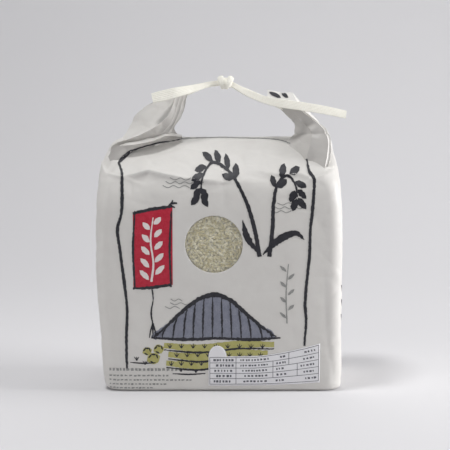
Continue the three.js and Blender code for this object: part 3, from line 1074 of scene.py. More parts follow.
@dataclass
class PaperTie:
    """The tie of paper cords glued side by side, knotted over the middle."""

    cords: int = 6
    groove: float = 0.3
    tilt: float = math.radians(28)
    columns: int = 84
    knot: tuple[float, float, float] = (5.6, 0.0, 289.5)
    turns: tuple[Turn, ...] = (
        Turn(-2.6, 0.35, 4.6, 6.2), Turn(3.0, -0.55, 4.8, 6.0), Turn(0.4, 1.15, 4.4, 5.4),
    )

    def section(self, around: float, width: float, thickness: float, fullness: float) -> tuple[float, float]:
        """The band's section: round cords side by side.

        Args:
            around: 0 to 1 round the section.
            width: the band's width.
            thickness: the band's thickness.
            fullness: 2 for an oval section, more for a flat one.

        Returns:
            How far across and how far through, in millimetres.
        """
        face = 1 if around < 0.5 else -1
        t = around * 2 if face > 0 else 2 - around * 2
        in_cord = (t * self.cords) % 1.0 * 2 - 1
        shoulder = math.sqrt(max(0.0, 1 - abs(2 * t - 1) ** fullness))
        return (t - 0.5) * width, face * shoulder * (thickness / 2 - self.groove * in_cord * in_cord)

    def band(self, route: Band) -> bmesh.types.BMesh:
        """Sweep the section along a route, its flat side to the front.

        Args:
            route: the stretch to make.

        Returns:
            The stretch as a closed bmesh.
        """
        points = [Vector(p) for p in route.points]
        spans = len(points) - 1
        steps = tuple(range(spans + 1))
        width = Graded(steps, route.widths)
        thick = Graded(steps, route.thicknesses)

        def place(around: float, along: float) -> Vector:
            """A place on the stretch."""
            centre = through(points, along)
            ahead = (through(points, min(1, along + 0.01)) - through(points, max(0, along - 0.01))).normalized()
            across = Vector((-ahead.z, 0, ahead.x)).normalized()
            deep = ahead.cross(across)
            lean_back = math.copysign(math.sin(self.tilt), across.z)
            across = across * math.cos(self.tilt) - deep * lean_back
            deep = ahead.cross(across)
            wave = 0.25 * noise.noise(centre / 9)
            a, b = self.section(around, width(along * spans), thick(along * spans), 8)
            return centre + across * a + deep * (b + wave)

        return sheet_tube(self.columns, spans * 22, place, size=(20, 26 * spans))

    def turn(self, turn: Turn) -> bmesh.types.BMesh:
        """Bend one turn of the band round the knot.

        Args:
            turn: the turn to make.

        Returns:
            The turn as a closed ring.
        """
        lean = Matrix.Rotation(-turn.lean, 3, "Y")
        centre = Vector(self.knot) + Vector((turn.offset, 0, 0))

        def place(around: float, along: float) -> Vector:
            """A place on the turn."""
            angle = 2 * math.pi * along
            a, b = self.section(around, turn.width, 4.2, 2.4)
            radius = turn.radius + b + 0.5 * math.sin(3 * angle + turn.offset)
            local = Vector((a, 0.72 * radius * math.cos(angle), radius * math.sin(angle)))
            return centre + lean @ local

        return sheet_tube(self.columns, 60, place, ring=True, size=(12, 38))

    def build(self, paper: bpy.types.Material) -> bpy.types.Object:
        """Make every stretch and turn of the tie as one piece.

        Args:
            paper: the finish.

        Returns:
            The tie.
        """
        whole = bmesh.new()
        parts = [self.band(route) for route in TIE_BANDS] + [self.turn(turn) for turn in self.turns]
        for part in parts:
            mesh = bpy.data.meshes.new("part")
            part.to_mesh(mesh)
            part.free()
            whole.from_mesh(mesh)
            bpy.data.meshes.remove(mesh)
        core = bmesh.ops.create_uvsphere(whole, u_segments=20, v_segments=14, radius=5.2 * MM)
        bmesh.ops.translate(whole, verts=core["verts"], vec=Vector(self.knot) * MM)
        return fit(to_object(whole, "paper_tie", 60), paper, Slot.TIE, "tie")


# The window

@dataclass
class RiceWindow:
    """The rice that shows through the window, and the film that holds it back."""

    sack: PaperSack
    length: float = 5.0
    width: float = 2.9
    height: float = 2.1
    pitch: float = 3.6
    layers: int = 3
    spread: float = 29.5
    jitter: float = 0.7
    lift: float = 0.9
    seed: int = 11

    def grain(self) -> bpy.types.Mesh:
        """One plump grain with the notch where its germ was.

        Returns:
            The grain's mesh, its length along X.
        """
        bm = bmesh.new()
        bmesh.ops.create_uvsphere(bm, u_segments=10, v_segments=7, radius=0.5)
        bmesh.ops.rotate(bm, verts=bm.verts, cent=(0, 0, 0), matrix=Matrix.Rotation(math.pi / 2, 3, "Y"))
        bmesh.ops.scale(bm, verts=bm.verts, vec=Vector((self.length, self.width, self.height)) * MM)
        for vert in bm.verts:
            notch = max(0.0, (vert.co.x / MM - 1.4) / 1.1) * max(0.0, vert.co.y / MM)
            vert.co.y -= 0.45 * notch * MM
            vert.co.y += 0.12 * math.cos(vert.co.x / MM * 0.6) * MM
        mesh = bpy.data.meshes.new("grain")
        bm.to_mesh(mesh)
        bm.free()
        return mesh

    def build_rice(self, finish: bpy.types.Material) -> bpy.types.Object:
        """Lay the grains against the film in layers, on a core.

        Args:
            finish: the finish.

        Returns:
            The rice.
        """
        chance = random.Random(self.seed)
        x0, z0 = self.sack.window
        front = self.sack.front_at(x0, z0) + self.sack.lip + 0.5
        grain = self.grain()
        bm = bmesh.new()
        row = self.pitch * math.sqrt(3) / 2
        count = int(self.spread / row) + 1
        for layer in range(self.layers):
            depth = front + self.height * (0.5 + 0.62 * layer)
            for j in range(-count, count + 1):
                for i in range(-count, count + 1):
                    x = (i + 0.5 * ((j + layer) % 2)) * self.pitch + chance.uniform(-self.jitter, self.jitter)
                    z = (j + 0.4 * layer) * row + chance.uniform(-self.jitter, self.jitter)
                    angle = chance.uniform(0, math.pi)
                    tips = chance.uniform(-0.22, 0.22), chance.uniform(-0.3, 0.3)
                    size = chance.uniform(0.88, 1.08)
                    lift = chance.uniform(0.0, self.lift)
                    if math.hypot(x, z) > self.spread - 1.2:
                        continue
                    before = len(bm.verts)
                    bm.from_mesh(grain)
                    bm.verts.ensure_lookup_table()
                    turn = Matrix.Rotation(angle, 4, "Y") @ Matrix.Rotation(tips[0], 4, "Z")
                    lay = Matrix.Rotation(math.pi / 2 + tips[1], 4, "X")
                    spot = Matrix.Translation(Vector((x0 + x, depth + lift, z0 + z)) * MM)
                    matrix = spot @ turn @ lay @ Matrix.Scale(size, 4)
                    bmesh.ops.transform(bm, matrix=matrix, verts=bm.verts[before:])
        bed = bmesh.ops.create_cone(
            bm, cap_ends=True, segments=64, radius1=self.spread * MM, radius2=self.spread * MM,
            depth=1.4 * MM,
            matrix=Matrix.Translation(Vector((x0, front + self.height * 2.3, z0)) * MM)
            @ Matrix.Rotation(math.pi / 2, 4, "X"),
        )
        log.info("core of the rice: %d corners", len(bed["verts"]))
        bpy.data.meshes.remove(grain)
        return fit(to_object(bm, "rice_grains", 70), finish, Slot.RICE, "rice")

    def build_film(self, finish: bpy.types.Material) -> bpy.types.Object:
        """Stretch the film behind the paper.

        Args:
            finish: the finish.

        Returns:
            The film.
        """
        x0, z0 = self.sack.window
        front = self.sack.front_at(x0, z0) + self.sack.lip + 0.15
        bm = bmesh.new()
        bmesh.ops.create_circle(bm, cap_ends=True, segments=96, radius=(self.sack.behind_radius - 0.3) * MM)
        bmesh.ops.triangulate(bm, faces=bm.faces)
        for axis in (Vector((1, 0, 0)), Vector((0, 1, 0))):
            for step in range(-15, 16):
                geom = bm.verts[:] + bm.edges[:] + bm.faces[:]
                bmesh.ops.bisect_plane(bm, geom=geom, plane_co=axis * step * 2 * MM, plane_no=axis)
        bmesh.ops.rotate(bm, verts=bm.verts, cent=(0, 0, 0), matrix=Matrix.Rotation(math.pi / 2, 3, "X"))
        for vert in bm.verts:
            vert.co.y += 0.12 * MM * noise.noise(vert.co / (13 * MM))
        bmesh.ops.translate(bm, verts=bm.verts, vec=Vector((x0, front, z0)) * MM)
        film = to_object(bm, "window_film_sheet", 60)
        thick = film.modifiers.new("thickness", "SOLIDIFY")
        thick.thickness = 0.08 * MM
        apply_modifiers(film)
        return fit(film, finish, Slot.FILM, "window_film")


# The printing

class Ink(Enum):
    """The printing inks, in the order they are printed."""

    SLATE = "slate"
    OLIVE = "olive"
    RED = "red"
    GREY = "grey"
    WHITE = "white"
    BLACK = "black"


INK_FINISH = {
    Ink.SLATE: PrintedInk("slate_ink", "#757887", "#8f929f"),
    Ink.OLIVE: PrintedInk("olive_ink", "#a9a45c", "#bab67c"),
    Ink.RED: PrintedInk("red_ink", "#ae1730", "#c22f45"),
    Ink.GREY: PrintedInk("grey_ink", "#858684", "#a5a5a2"),
    Ink.WHITE: PrintedInk("opaque_white_ink", "#e8e2df", "#ddd0cf"),
    Ink.BLACK: PrintedInk("black_ink", "#1f1f25", "#38383f"),
}


@dataclass
class Stroke:
    """A painted stroke: a route on the sheet with a width at each point, and a rough edge.

    Its short edge lies across the route, or stays upright.
    """

    points: Sequence[tuple[float, float]]
    widths: Sequence[float]
    rough: float = 0.0
    step: float = 1.2
    upright: bool = False

    def sweep(self, bm: bmesh.types.BMesh, seed: float = 0.0) -> None:
        """Sweep the stroke's short edge along its route.

        Args:
            bm: the flat sheet of this ink, x across and z up, which the stroke joins.
            seed: sets the rough edge.
        """
        route = [Vector((x, 0, z)) for x, z in self.points]
        spans = len(route) - 1
        wide = Graded(tuple(range(spans + 1)), tuple(self.widths))
        length = sum((b - a).length for a, b in zip(route, route[1:]))
        steps = max(2, int(length / self.step))
        edge = None
        for i in range(steps + 1):
            share = i / steps
            at = through(route, share)
            ahead = through(route, min(1, share + 0.01)) - through(route, max(0, share - 0.01))
            side = Vector((0, 0, 1)) if self.upright else Vector((-ahead.z, 0, ahead.x)).normalized()
            half = wide(share * spans) / 2
            left = half + self.rough * noise.noise(at / 2.2 + Vector((seed, 0, 0)))
            right = half + self.rough * noise.noise(at / 2.2 + Vector((seed + 40, 0, 0)))
            ends = (at + side * max(0.05, left), at - side * max(0.05, right))
            if edge is None:
                edge = bm.edges.new([bm.verts.new(p * MM) for p in ends])
                continue
            made = bmesh.ops.extrude_edge_only(bm, edges=[edge])["geom"]
            edge = next(e for e in made if isinstance(e, bmesh.types.BMEdge))
            fresh = sorted((v for v in made if isinstance(v, bmesh.types.BMVert)), key=lambda v: v.index)
            near = min(fresh, key=lambda v: (v.co / MM - ends[0]).length - (v.co / MM - ends[1]).length)
            for vert in fresh:
                vert.co = (ends[0] if vert is near else ends[1]) * MM


def lens(x: float, z: float, length: float, width: float, degrees: float, rough: float = 0.3) -> Stroke:
    """A leaf or grain shaped dab of the brush.

    Args:
        x: its middle across.
        z: its middle up.
        length: its length in millimetres.
        width: its width in millimetres.
        degrees: how it leans, 0 along X.
        rough: how uneven its edge is.

    Returns:
        The stroke.
    """
    way = Vector((math.cos(math.radians(degrees)), math.sin(math.radians(degrees)))) * length / 2
    shares = (-1, -0.55, 0, 0.55, 1)
    points = [(x + way.x * s, z + way.y * s) for s in shares]
    return Stroke(points, (0.3, width * 0.8, width, width * 0.78, 0.3), rough, 0.8)


@dataclass
class Printing:
    """A plain ink frame, brushed ears of rice, a red hanging panel, and fields under a hill."""

    targets: Sequence[bpy.types.Object]
    offset: float = 0.14
    layer: float = 0.03
    dice: float = 1.8
    strokes: dict[Ink, list[Stroke]] = field(default_factory=lambda: {ink: [] for ink in Ink})

    def add(self, ink: Ink, *strokes: Stroke) -> None:
        """Put strokes on an ink's sheet.

        Args:
            ink: the ink.
            strokes: the strokes.
        """
        self.strokes[ink].extend(strokes)

    def frame_line(self) -> None:
        """The hand-drawn line round the front, and a thin grey line along the ridge that is painted shade at
        its crease.
        """
        left = ((-87.3, 23), (-87.5, 50), (-86.7, 83), (-89.3, 108), (-92.8, 137), (-95, 157), (-91.6, 170),
                (-90.6, 184), (-90.8, 197), (-91.4, 209), (-95, 217))
        right = ((82.7, 220), (84.7, 209.5), (88.7, 203.6), (88.5, 191), (86.9, 170), (85.4, 157),
                 (84.7, 131), (82.4, 108), (81, 86), (82, 70), (80.6, 45))
        self.add(Ink.BLACK, Stroke(left, (2.2, 2.7, 2.5, 3.0, 2.7, 3.1, 2.6, 3.2, 2.9, 2.4, 2.0), 0.5))
        self.add(Ink.BLACK, Stroke(right, (1.6, 2.5, 3.1, 2.7, 3.1, 2.6, 3.0, 2.7, 3.0, 2.5, 2.0), 0.5))
        slope = ((-95, 216), (-91, 220.5), (-84, 226), (-75, 229.4), (-60, 233), (-47, 234.4), (-36, 236.4))
        self.add(Ink.BLACK, Stroke(slope, (1.8, 3.6, 3.2, 1.3, 1.6, 0.9, 0.7), 0.5))
        # painted shade: a thin grey line just under the ridge where the paper folds over
        ridge = ((-36, 236.2), (-18, 237.0), (20, 237.0), (58, 235.2), (68, 232.5))
        self.add(Ink.GREY, Stroke(ridge, (0.9, 0.8, 0.8, 0.9, 1.1), 0.2))

    def ears(self) -> None:
        """Two drooping ears of rice and their blades, painted with a full brush."""
        chance = random.Random(5)
        stems = (
            (((38, 131), (33, 158), (24, 186), (10, 209), (-6, 217), (-15, 206), (-17, 190)), 9),
            (((47, 131), (50, 158), (51, 182), (55, 199), (64, 206), (71, 199), (73, 187)), 6),
        )
        for stem, dabs in stems:
            spans = len(stem) - 1
            self.add(Ink.BLACK, Stroke(stem, [4.2 - 2.8 * i / spans for i in range(spans + 1)], 0.6))
            route = [Vector((x, 0, z)) for x, z in stem]
            for i in range(dabs):
                share = 0.44 + 0.56 * i / (dabs - 1)
                at = through(route, share)
                ahead = through(route, min(1, share + 0.02)) - through(route, share - 0.02)
                lean = math.degrees(math.atan2(ahead.z, ahead.x))
                inward = -1 if stem[-1][0] > stem[0][0] else 1
                for side in (-1, 1):
                    degrees = lean + side * chance.uniform(26, 38)
                    reach = chance.uniform(7.5, 8.5)
                    if side == inward and 0 < i < dabs - 2:
                        continue
                    x = at.x + math.cos(math.radians(degrees)) * reach
                    z = at.z + math.sin(math.radians(degrees)) * reach
                    dab = lens(x, z, chance.uniform(11, 13), chance.uniform(5.4, 6.6), degrees, 0.8)
                    self.add(Ink.BLACK, dab)
        for blade, width in (
            (((41, 133), (56, 147), (72, 153), (80, 147)), 7.0), (((38, 133), (26, 150), (22, 166)), 6.0),
        ):
            widths = [1.4] + [width * (1 - 0.25 * k) for k in range(len(blade) - 2)] + [0.4]
            self.add(Ink.BLACK, Stroke(blade, widths, 0.9))

    def panel(self) -> None:
        """The red hanging panel with a plain white sprig, a knot above it and a cord below."""
        left, right = -79.5, -45.5
        top = ((left - 1, 171.5), (-63, 175.5), (right + 2, 178.5))
        bottom = ((left - 1.5, 100.5), (-63, 101.5), (right + 1, 104.5))
        middle = [(a[0], (a[1] + b[1]) / 2) for a, b in zip(top, bottom)]
        self.add(Ink.RED, Stroke(middle, [a[1] - b[1] for a, b in zip(top, bottom)], 0.6, upright=True))
        self.add(Ink.BLACK, Stroke(top, (2.4, 3.2, 2.2), 0.8), Stroke(bottom, (2.0, 3.0, 2.4), 0.8))
        for x, lean in ((left, -1.0), (right, -0.6)):
            side = ((x + 1, 174), (x + lean, 140), (x + 0.4, 102))
            self.add(Ink.BLACK, Stroke(side, (1.4, 2.2, 1.6), 0.6))
        for start, end in (((-47, 178), (-43, 184)), ((-45, 181), (-39, 181.5)), ((-46, 179), (-41, 177.5))):
            self.add(Ink.BLACK, Stroke((start, end), (2.2, 1.2), 0.5))
        cord = ((-63, 101), (-62, 90), (-64, 78), (-62.5, 66))
        self.add(Ink.BLACK, Stroke(cord, (1.6, 1.0, 1.5, 1.2), 0.4))
        for lean in (-3.4, 0, 3.4):
            tassel = ((-62.5, 67), (-62.5 + lean * 0.6, 60), (-62.5 + lean, 53))
            self.add(Ink.BLACK, Stroke(tassel, (1.8, 1.4, 0.6), 0.4))
        stem = ((-63.5, 107), (-61.5, 124), (-64, 146), (-61.5, 168))
        self.add(Ink.WHITE, Stroke(stem, (2.2, 1.8, 1.6, 1.0), 0.3))
        for k in range(5):
            for side in (-1, 1):
                x, z = -62.8 + side * (7.2 - 0.5 * k), 116 + 11.6 * k + 2.5 * side
                self.add(Ink.WHITE, lens(x, z, 12.5 - 0.8 * k, 5.0, 90 - side * 44, 0.5))

    def mist(self) -> None:
        """Thin wavy grey bands of mist."""
        for x, z, spread in ((-36, 200, 18), (62, 177, 14), (-40, 86, 10)):
            for shift, rise, part in ((0, 3.6, 0.55), (4, 0, 1.0), (-4, -3.6, 0.7)):
                count = max(3, int(spread * part / 2.2))
                line = [(x + shift + spread * part * (2 * i / count - 1), z + rise + 1.0 * (-1) ** i)
                        for i in range(count + 1)]
                self.add(Ink.GREY, Stroke(line, [0.7] * (count + 1), 0.15, 0.9))

    def sprig(self) -> None:
        """A faint upright sprig."""
        self.add(Ink.GREY, Stroke(((64, 67), (63, 96), (65, 124)), (1.2, 1.0, 0.7), 0.2))
        for k in range(7):
            side = 1 if k % 2 else -1
            self.add(Ink.GREY, lens(64 + side * 3.8, 75 + 7.4 * k, 8.0, 2.7, 90 - side * 46, 0.4))

    def hill(self) -> None:
        """A slate hill ploughed in furrows, under a heavy brush outline."""
        base, peak = 54.0, -4.0
        crest = ((-60, 54), (-48, 66), (-32, 81), (-18, 91), (-4, 95), (10, 90), (24, 78), (40, 64), (54, 54))
        route = [Vector((x, 0, z)) for x, z in crest]
        slabs = 28
        for k in range(slabs):
            top = through(route, (k + 0.5) / slabs)
            if top.z - base < 5:
                continue
            lean = (top.x - peak) * 0.09
            middle = (top.x + lean, (top.z + base) / 2)
            furrow = ((top.x, top.z - 0.6), middle, (top.x + 1.5 * lean, base - 2))
            self.add(Ink.SLATE, Stroke(furrow, (4.8, 5.2, 5.8), 0.4))
            if k % 2:
                self.add(Ink.BLACK, Stroke(furrow, (0.7, 1.9, 0.9), 0.6))
        self.add(Ink.BLACK, Stroke(crest, (1.4, 2.6, 3.4, 4.2, 4.8, 3.8, 3.4, 2.6, 1.4), 1.0))
        foot = ((-64, 53), (-30, 51.6), (0, 52.6), (30, 51.4), (58, 53))
        self.add(Ink.BLACK, Stroke(foot, (1.6, 3.2, 2.6, 3.2, 1.4), 0.8))

    def tuft(self, x: float, z: float, blades: Sequence[tuple[float, float]], width: float) -> None:
        """Paint a tuft of short blades.

        Args:
            x: its foot across.
            z: its foot up.
            blades: how far each blade leans and how long it is.
            width: how wide a blade is at its foot.
        """
        for lean, length in blades:
            self.add(Ink.BLACK, Stroke(((x, z), (x + lean, z + length)), (width, 0.5), 0.2))

    def terraces(self) -> None:
        """Olive rice terraces below the hill, with tufts, and a round bush beside them."""
        rows = ((-52, 52, 45.5, 2.4), (-48, 46, 37.0, 3.0), (-50, 40, 28.5, 2.6))
        for row, (x0, x1, z, sag) in enumerate(rows):
            line = ((x0, z), ((x0 * 2 + x1) / 3, z - sag), ((x0 + x1 * 2) / 3, z + sag * 0.5), (x1, z + 1))
            self.add(Ink.OLIVE, Stroke(line, (5.0, 7.4, 7.0, 5.0), 0.6))
            under = [(x, z0 - 4.3) for x, z0 in line]
            self.add(Ink.BLACK, Stroke(under, (1.0, 2.0, 1.8, 0.9), 0.6))
            for k in range(9):
                x = x0 + (x1 - x0) * (k + 0.5 + 0.3 * (row % 2)) / 9.5
                self.tuft(x, z - 2.4, ((-2.2, 3.4), (0.3, 4.4), (2.4, 3.2)), 1.1)
        for x, z, size in ((-62, 33, 11), (-57, 42, 9), (-68, 40, 8)):
            self.add(Ink.OLIVE, lens(x, z, size * 1.2, size, 20, 0.8))
            for degrees in (30, 90, 150, 250):
                way = math.radians(degrees)
                x1, z1 = x + 0.36 * size * math.cos(way), z + 0.36 * size * math.sin(way)
                self.add(Ink.BLACK, lens(x1, z1, 4.4, 1.5, degrees + 80, 0.4))
        self.add(Ink.BLACK, Stroke(((-84, 29), (-70, 28.2), (-60, 29)), (0.8, 1.5, 0.8), 0.3),
                 Stroke(((-44, 18), (-28, 17.2), (-13, 18)), (0.8, 1.6, 0.8), 0.3))
        for x, z in ((-78, 31), (-70, 27), (-36, 20), (-22, 19)):
            self.tuft(x, z, ((-2.2, 3.6), (0, 3.6), (2.2, 3.6)), 1.2)

    def dashes(self) -> None:
        """Plain rows of short dashes low on the left, the first row taller."""
        chance = random.Random(3)
        rows = ((-30, 22.0, 2.6), (-50, 16.0, 1.5), (-26, 11.6, 1.4), (-50, 7.4, 1.4), (-62, 3.6, 1.3))
        for end, z, tall in rows:
            x = -104.0
            while x < end:
                run = chance.uniform(1.4, 3.0)
                self.add(Ink.GREY, Stroke(((x, z), (x + run, z + 0.1)), (tall, tall * 0.9), 0.6, 0.8))
                x += run + chance.uniform(0.9, 1.8)

    def tip_dabs(self) -> None:
        """Two dabs of the print that end up on the right horn's tip."""
        self.add(Ink.BLACK, lens(53.5, 277.8, 12.5, 3.6, -24, 0.4), lens(63, 277.4, 8, 3.6, -37, 0.3))

    def bake(self, ink: Ink) -> bpy.types.Object:
        """Press one ink's strokes on to the paper.

        Args:
            ink: the ink.

        Returns:
            The printed piece.
        """
        bm = bmesh.new()
        for number, stroke in enumerate(self.strokes[ink]):
            stroke.sweep(bm, number * 1.7)
        dice_flat(bm, self.dice)
        press_on(bm, self.targets, Vector((0, 1, 0)), self.offset + self.layer * list(Ink).index(ink))
        piece = to_object(bm, f"print_{ink.value}", 60)
        return fit(piece, INK_FINISH[ink].material(), Slot.SACK)

    def side_sprig(self, way: int) -> bpy.types.Object:
        """Print a sprig on one gusset, close to the front corner.

        Args:
            way: 1 for the right gusset, -1 for the left.

        Returns:
            The printed piece.
        """
        bm = bmesh.new()
        middle = -39 if way > 0 else -16
        Stroke(((middle + 1, 62), (middle - 1, 84), (middle + 3, 112)), (1.4, 1.6, 0.8), 0.4).sweep(bm)
        for k in range(6):
            side = 1 if k % 2 else -1
            lens(middle + side * 6, 70 + 7 * k, 12, 4.6, 90 - side * 48, 0.6).sweep(bm, k)
        dice_flat(bm, self.dice)
        bmesh.ops.rotate(bm, verts=bm.verts, cent=(0, 0, 0), matrix=Matrix.Rotation(math.pi / 2, 3, "Z"))
        press_on(bm, self.targets, Vector((-way, 0, 0)), self.offset)
        side_name = "right" if way > 0 else "left"
        ink = INK_FINISH[Ink.BLACK]
        return fit(to_object(bm, f"print_side_{side_name}", 60), ink.material(), Slot.SACK)

    def build(self) -> list[bpy.types.Object]:
        """Draw the whole print.

        Returns:
            One piece for each ink, and one for each gusset.
        """
        for draw in (self.frame_line, self.ears, self.panel, self.mist, self.sprig, self.hill, self.terraces,
                     self.dashes, self.tip_dabs):
            draw()
        return [self.bake(ink) for ink in Ink] + [self.side_sprig(way) for way in (1, -1)]


def dice_flat(bm: bmesh.types.BMesh, pitch: float) -> None:
    """Cut a flat sheet in x and z into cells, so that it can bend with the paper.

    Args:
        bm: the sheet.
        pitch: the size of a cell in millimetres.
    """
    for axis in (Vector((1, 0, 0)), Vector((0, 0, 1))):
        places = [vert.co.dot(axis) / MM for vert in bm.verts]
        for step in range(math.floor(min(places) / pitch) + 1, math.ceil(max(places) / pitch)):
            bmesh.ops.bisect_plane(
                bm, geom=bm.verts[:] + bm.edges[:] + bm.faces[:], plane_co=axis * step * pitch * MM,
                plane_no=axis, dist=0.01 * MM,
            )


STAND_OFF = 0.5
TORN_MM = 7


def press_on(bm: bmesh.types.BMesh, targets: Sequence[bpy.types.Object], way: Vector, offset: float) -> None:
    """Press a flat sheet along one way on to the first piece it meets, a little proud of it.

    Args:
        bm: the sheet, which moves.
        targets: the pieces it may land on.
        way: the unit direction of travel.
        offset: how far it stays proud, in millimetres.
    """
    graph = bpy.context.evaluated_depsgraph_get()
    trees = [BVHTree.FromObject(target, graph) for target in targets]
    lost = []
    for vert in bm.verts:
        start = vert.co - way * STAND_OFF
        hits = [tree.ray_cast(start, way) for tree in trees]
        hits = [hit for hit in hits if hit[0] is not None]
        if not hits:
            lost.append(vert)
            continue
        place, normal, _, _ = min(hits, key=lambda hit: hit[3])
        if normal.dot(way) > 0:
            normal = -normal
        vert.co = place + normal * offset * MM
    bmesh.ops.delete(bm, geom=lost, context="VERTS")
    torn = [edge for edge in bm.edges if edge.calc_length() > TORN_MM * MM]
    bmesh.ops.delete(bm, geom=torn, context="EDGES")
    for face in bm.faces:
        face.normal_update()
        if face.normal.dot(way) > 0:
            face.normal_flip()


# The label

@dataclass
class StickerLabel:
    """A coated paper label with an arched tab, climbing to the right, ruled in rows with plain dashes."""

    target: bpy.types.Object
    left: float = -10.0
    right: float = 95.5
    bottom: float = 6.0
    height: float = 29.0
    tab_width: float = 17.0
    tab_height: float = 10.5
    climb_from: float = 30.0
    bottom_climb: float = 3.0
    top_climb: float = 12.3

    def spot(self, x: float, z: float) -> tuple[float, float]:
        """A place on the label as it lies on the sack.

        Args:
            x: place across from the label's left edge.
            z: place up from its bottom edge.

        Returns:
            The place on the sack's front.
        """
        across = self.left + x
        climb = max(0.0, (across - self.climb_from) / (self.right - self.climb_from)) ** 1.5
        low = self.bottom + self.bottom_climb * climb
        tall = self.height + (self.top_climb - self.bottom_climb) * climb
        return across, low + tall * min(z / self.height, 1.0) + max(0.0, z - self.height)

    def build_paper(self, finish: bpy.types.Material) -> bpy.types.Object:
        """Cut the label and press it on.

        Args:
            finish: the finish.

        Returns:
            The label.
        """
        width, half = self.right - self.left, self.tab_width / 2
        steps = 24
        outline = [(width * k / steps, 0.0) for k in range(steps + 1)]
        outline += [(width - (width - self.tab_width) * k / steps, self.height) for k in range(steps)]
        arc = [math.pi * k / 12 for k in range(13)]
        outline += [(half + half * math.cos(a), self.height + self.tab_height * math.sin(a)) for a in arc]
        bm = bmesh.new()
        bm.faces.new([bm.verts.new(Vector((x, 0, z)) * MM) for x, z in (self.spot(*p) for p in outline)])
        bmesh.ops.remove_doubles(bm, verts=bm.verts, dist=0.01 * MM)
        dice_flat(bm, 2.0)
        press_on(bm, [self.target], Vector((0, 1, 0)), 0.5)
        label = to_object(bm, "paper_label", 60)
        thick = label.modifiers.new("thickness", "SOLIDIFY")
        thick.thickness = 0.2 * MM
        thick.offset = -1
        apply_modifiers(label)
        return fit(label, finish, Slot.LABEL, "label")

    def build_rules(self, label: bpy.types.Object) -> bpy.types.Object:
        """Print the label's ruled rows.

        Args:
            label: the label's paper.

        Returns:
            The printed lines.
        """
        chance = random.Random(8)
        bm = bmesh.new()
        left, right = 1.2, self.right - self.left - 1.2
        tops = (28.0, 22.6, 17.4, 12.2, 7.0, 1.4)
        for z in tops:
            Stroke([self.spot(left + (right - left) * k / 10, z) for k in range(11)], [0.5] * 11).sweep(bm)
        for x, top, low in ((left, 0, 5), (26, 0, 5), (right, 0, 5), (61, 1, 4), (76, 0, 2), (84, 2, 4)):
            Stroke((self.spot(x, tops[top]), self.spot(x, tops[low])), (0.5, 0.5), 0.0, 4.0).sweep(bm)
        for upper, lower in zip(tops, tops[1:]):
            z = (upper + lower) / 2
            for x0, x1, tall in ((3.5, 24, 2.2), (29, 58, 1.7), (63, 74, 1.8), (87, 102, 1.7)):
                x = x0 + chance.uniform(0, 5)
                while x < x1 - 2:
                    run = chance.uniform(1.0, 2.4)
                    Stroke((self.spot(x, z), self.spot(x + run, z)), (tall, tall), 0.4, 1.0).sweep(bm, x)
                    x += run + chance.uniform(0.6, 1.8)
        dice_flat(bm, 2.0)
        press_on(bm, [label], Vector((0, 1, 0)), 0.1)
        ink = PrintedInk("label_ink", "#4c4c55", "#74747c")
        return fit(to_object(bm, "label_rules", 60), ink.material(), Slot.LABEL)


# The studio

@dataclass(frozen=True)
class Lamp:
    """A soft area lamp aimed at the sack."""

    name: str
    place: tuple[float, float, float]
    size: float
    power: float
    tint: str = "#ffffff"


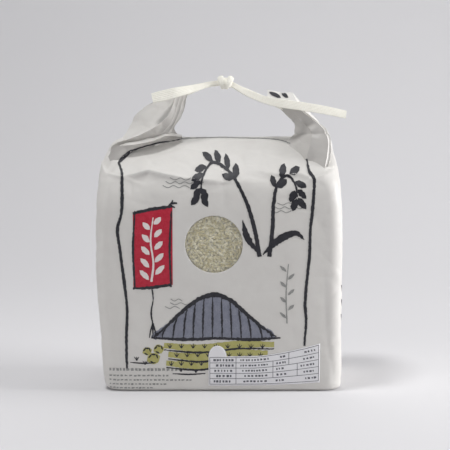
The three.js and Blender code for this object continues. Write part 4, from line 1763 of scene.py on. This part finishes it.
@dataclass
class Studio:
    """A pale sweep of paper as floor and backdrop, soft lamps, and the camera at the photograph's angle."""

    aim: tuple[float, float, float] = (0.0056, 0.0, 0.152)
    distance: float = 1.7
    elevation: float = math.radians(8.5)
    lens: float = 140.4
    world: str = "#f4f5f8"
    world_strength: float = 0.22
    floor_front: float = -30.0
    floor_back: float = 0.5
    bend: float = 1.4
    wall: float = 2.0
    half_width: float = 20.0
    lamps: tuple[Lamp, ...] = (
        Lamp("ceiling_back", (0.25, 0.7, 1.6), 1.4, 5.2),
        Lamp("ceiling_front", (-0.3, -0.25, 1.5), 0.3, 9.0),
        Lamp("window_side", (1.7, -0.1, 0.5), 0.9, 31.0),
        Lamp("left_fill", (-1.4, -1.3, 0.8), 1.2, 8.0),
    )

    def sweep_point(self, length: float) -> tuple[float, float]:
        """The depth and height of the backdrop's paper at a length from its front edge, in metres."""
        flat = self.floor_back - self.floor_front
        if length <= flat:
            return self.floor_front + length, 0.0
        turn = min((length - flat) / self.bend, math.pi / 2)
        rise = max(0.0, length - flat - self.bend * math.pi / 2)
        return self.floor_back + self.bend * math.sin(turn), self.bend * (1 - math.cos(turn)) + rise

    def build(self) -> None:
        """Lay the sweep, hang the lamps and set the camera."""
        total = self.floor_back - self.floor_front + self.bend * math.pi / 2 + self.wall
        bm = bmesh.new()
        bmesh.ops.create_grid(bm, x_segments=1, y_segments=240, size=0.5)
        for vert in bm.verts:
            depth, height = self.sweep_point((vert.co.y + 0.5) * total)
            vert.co = (vert.co.x * 2 * self.half_width, depth, height)
        floor = to_object(bm, "studio_sweep")
        floor.data.materials.append(StudioPaper().material())
        for lamp in self.lamps:
            data = bpy.data.lights.new(lamp.name, "AREA")
            data.shape = "DISK"
            data.size = lamp.size
            data.energy = lamp.power
            data.color = linear(lamp.tint)[:3]
            holder = bpy.data.objects.new(lamp.name, data)
            holder.location = lamp.place
            way = Vector(self.aim) - Vector(lamp.place)
            holder.rotation_euler = way.to_track_quat("-Z", "Y").to_euler()
            bpy.context.scene.collection.objects.link(holder)
        world = bpy.data.worlds.new("studio_air")
        world.use_nodes = True
        air = world.node_tree.nodes["Background"]
        air.inputs["Color"].default_value = linear(self.world)
        air.inputs["Strength"].default_value = self.world_strength
        bpy.context.scene.world = world
        data = bpy.data.cameras.new("photo_camera")
        data.lens = self.lens
        data.sensor_width = 36.0
        camera = bpy.data.objects.new("photo_camera", data)
        back = Vector((0, -math.cos(self.elevation), math.sin(self.elevation)))
        camera.location = Vector(self.aim) + back * self.distance
        camera.rotation_euler = (math.pi / 2 - self.elevation, 0, 0)
        bpy.context.scene.collection.objects.link(camera)
        bpy.context.scene.camera = camera
        bpy.context.scene.view_settings.view_transform = "Standard"


def main() -> None:
    """Build the sack, its tie, its window, its printing and its label, then the studio."""
    logging.basicConfig(level=logging.INFO, format="%(name)s %(message)s")
    paper = WhiteKraft().material()
    sack = PaperSack()
    body = sack.build(paper)
    # painted shade: a greyer copy of the paper for the flaps' faces that lie in shade
    painted_shade_ply = WhiteKraft("painted_shade_kraft", "#c6c3bf", "#bbb8b4").material()
    across = Pinch((90, -14, 243.5), (-0.08, 0.0, 1.0), 1.8, 2.2)
    flaps = [
        FoldedFlap("horn_left", LEFT_HORN, ("crest", "fold", "lip"), seed=2.0).build(paper, painted_shade_ply),
        FoldedFlap(
            "pleat_left", LEFT_PLEAT, ("rim",), crumple=0.5, seed=4.0, girth=50.0,
        ).build(paper, painted_shade_ply),
        FoldedFlap("horn_right", RIGHT_HORN, ("ridge", "lip"), (across,), seed=7.0).build(paper, painted_shade_ply),
    ]
    MouthRoll().build(paper)
    PaperTie().build(PaperCord().material())
    window = RiceWindow(sack)
    window.build_rice(MilledRice().material())
    window.build_film(ClearFilm().material())
    Printing([body, *flaps]).build()
    label = StickerLabel(body)
    label.build_rules(label.build_paper(StickerPaper().material()))
    Studio().build()


if __name__ == "__main__":
    main()
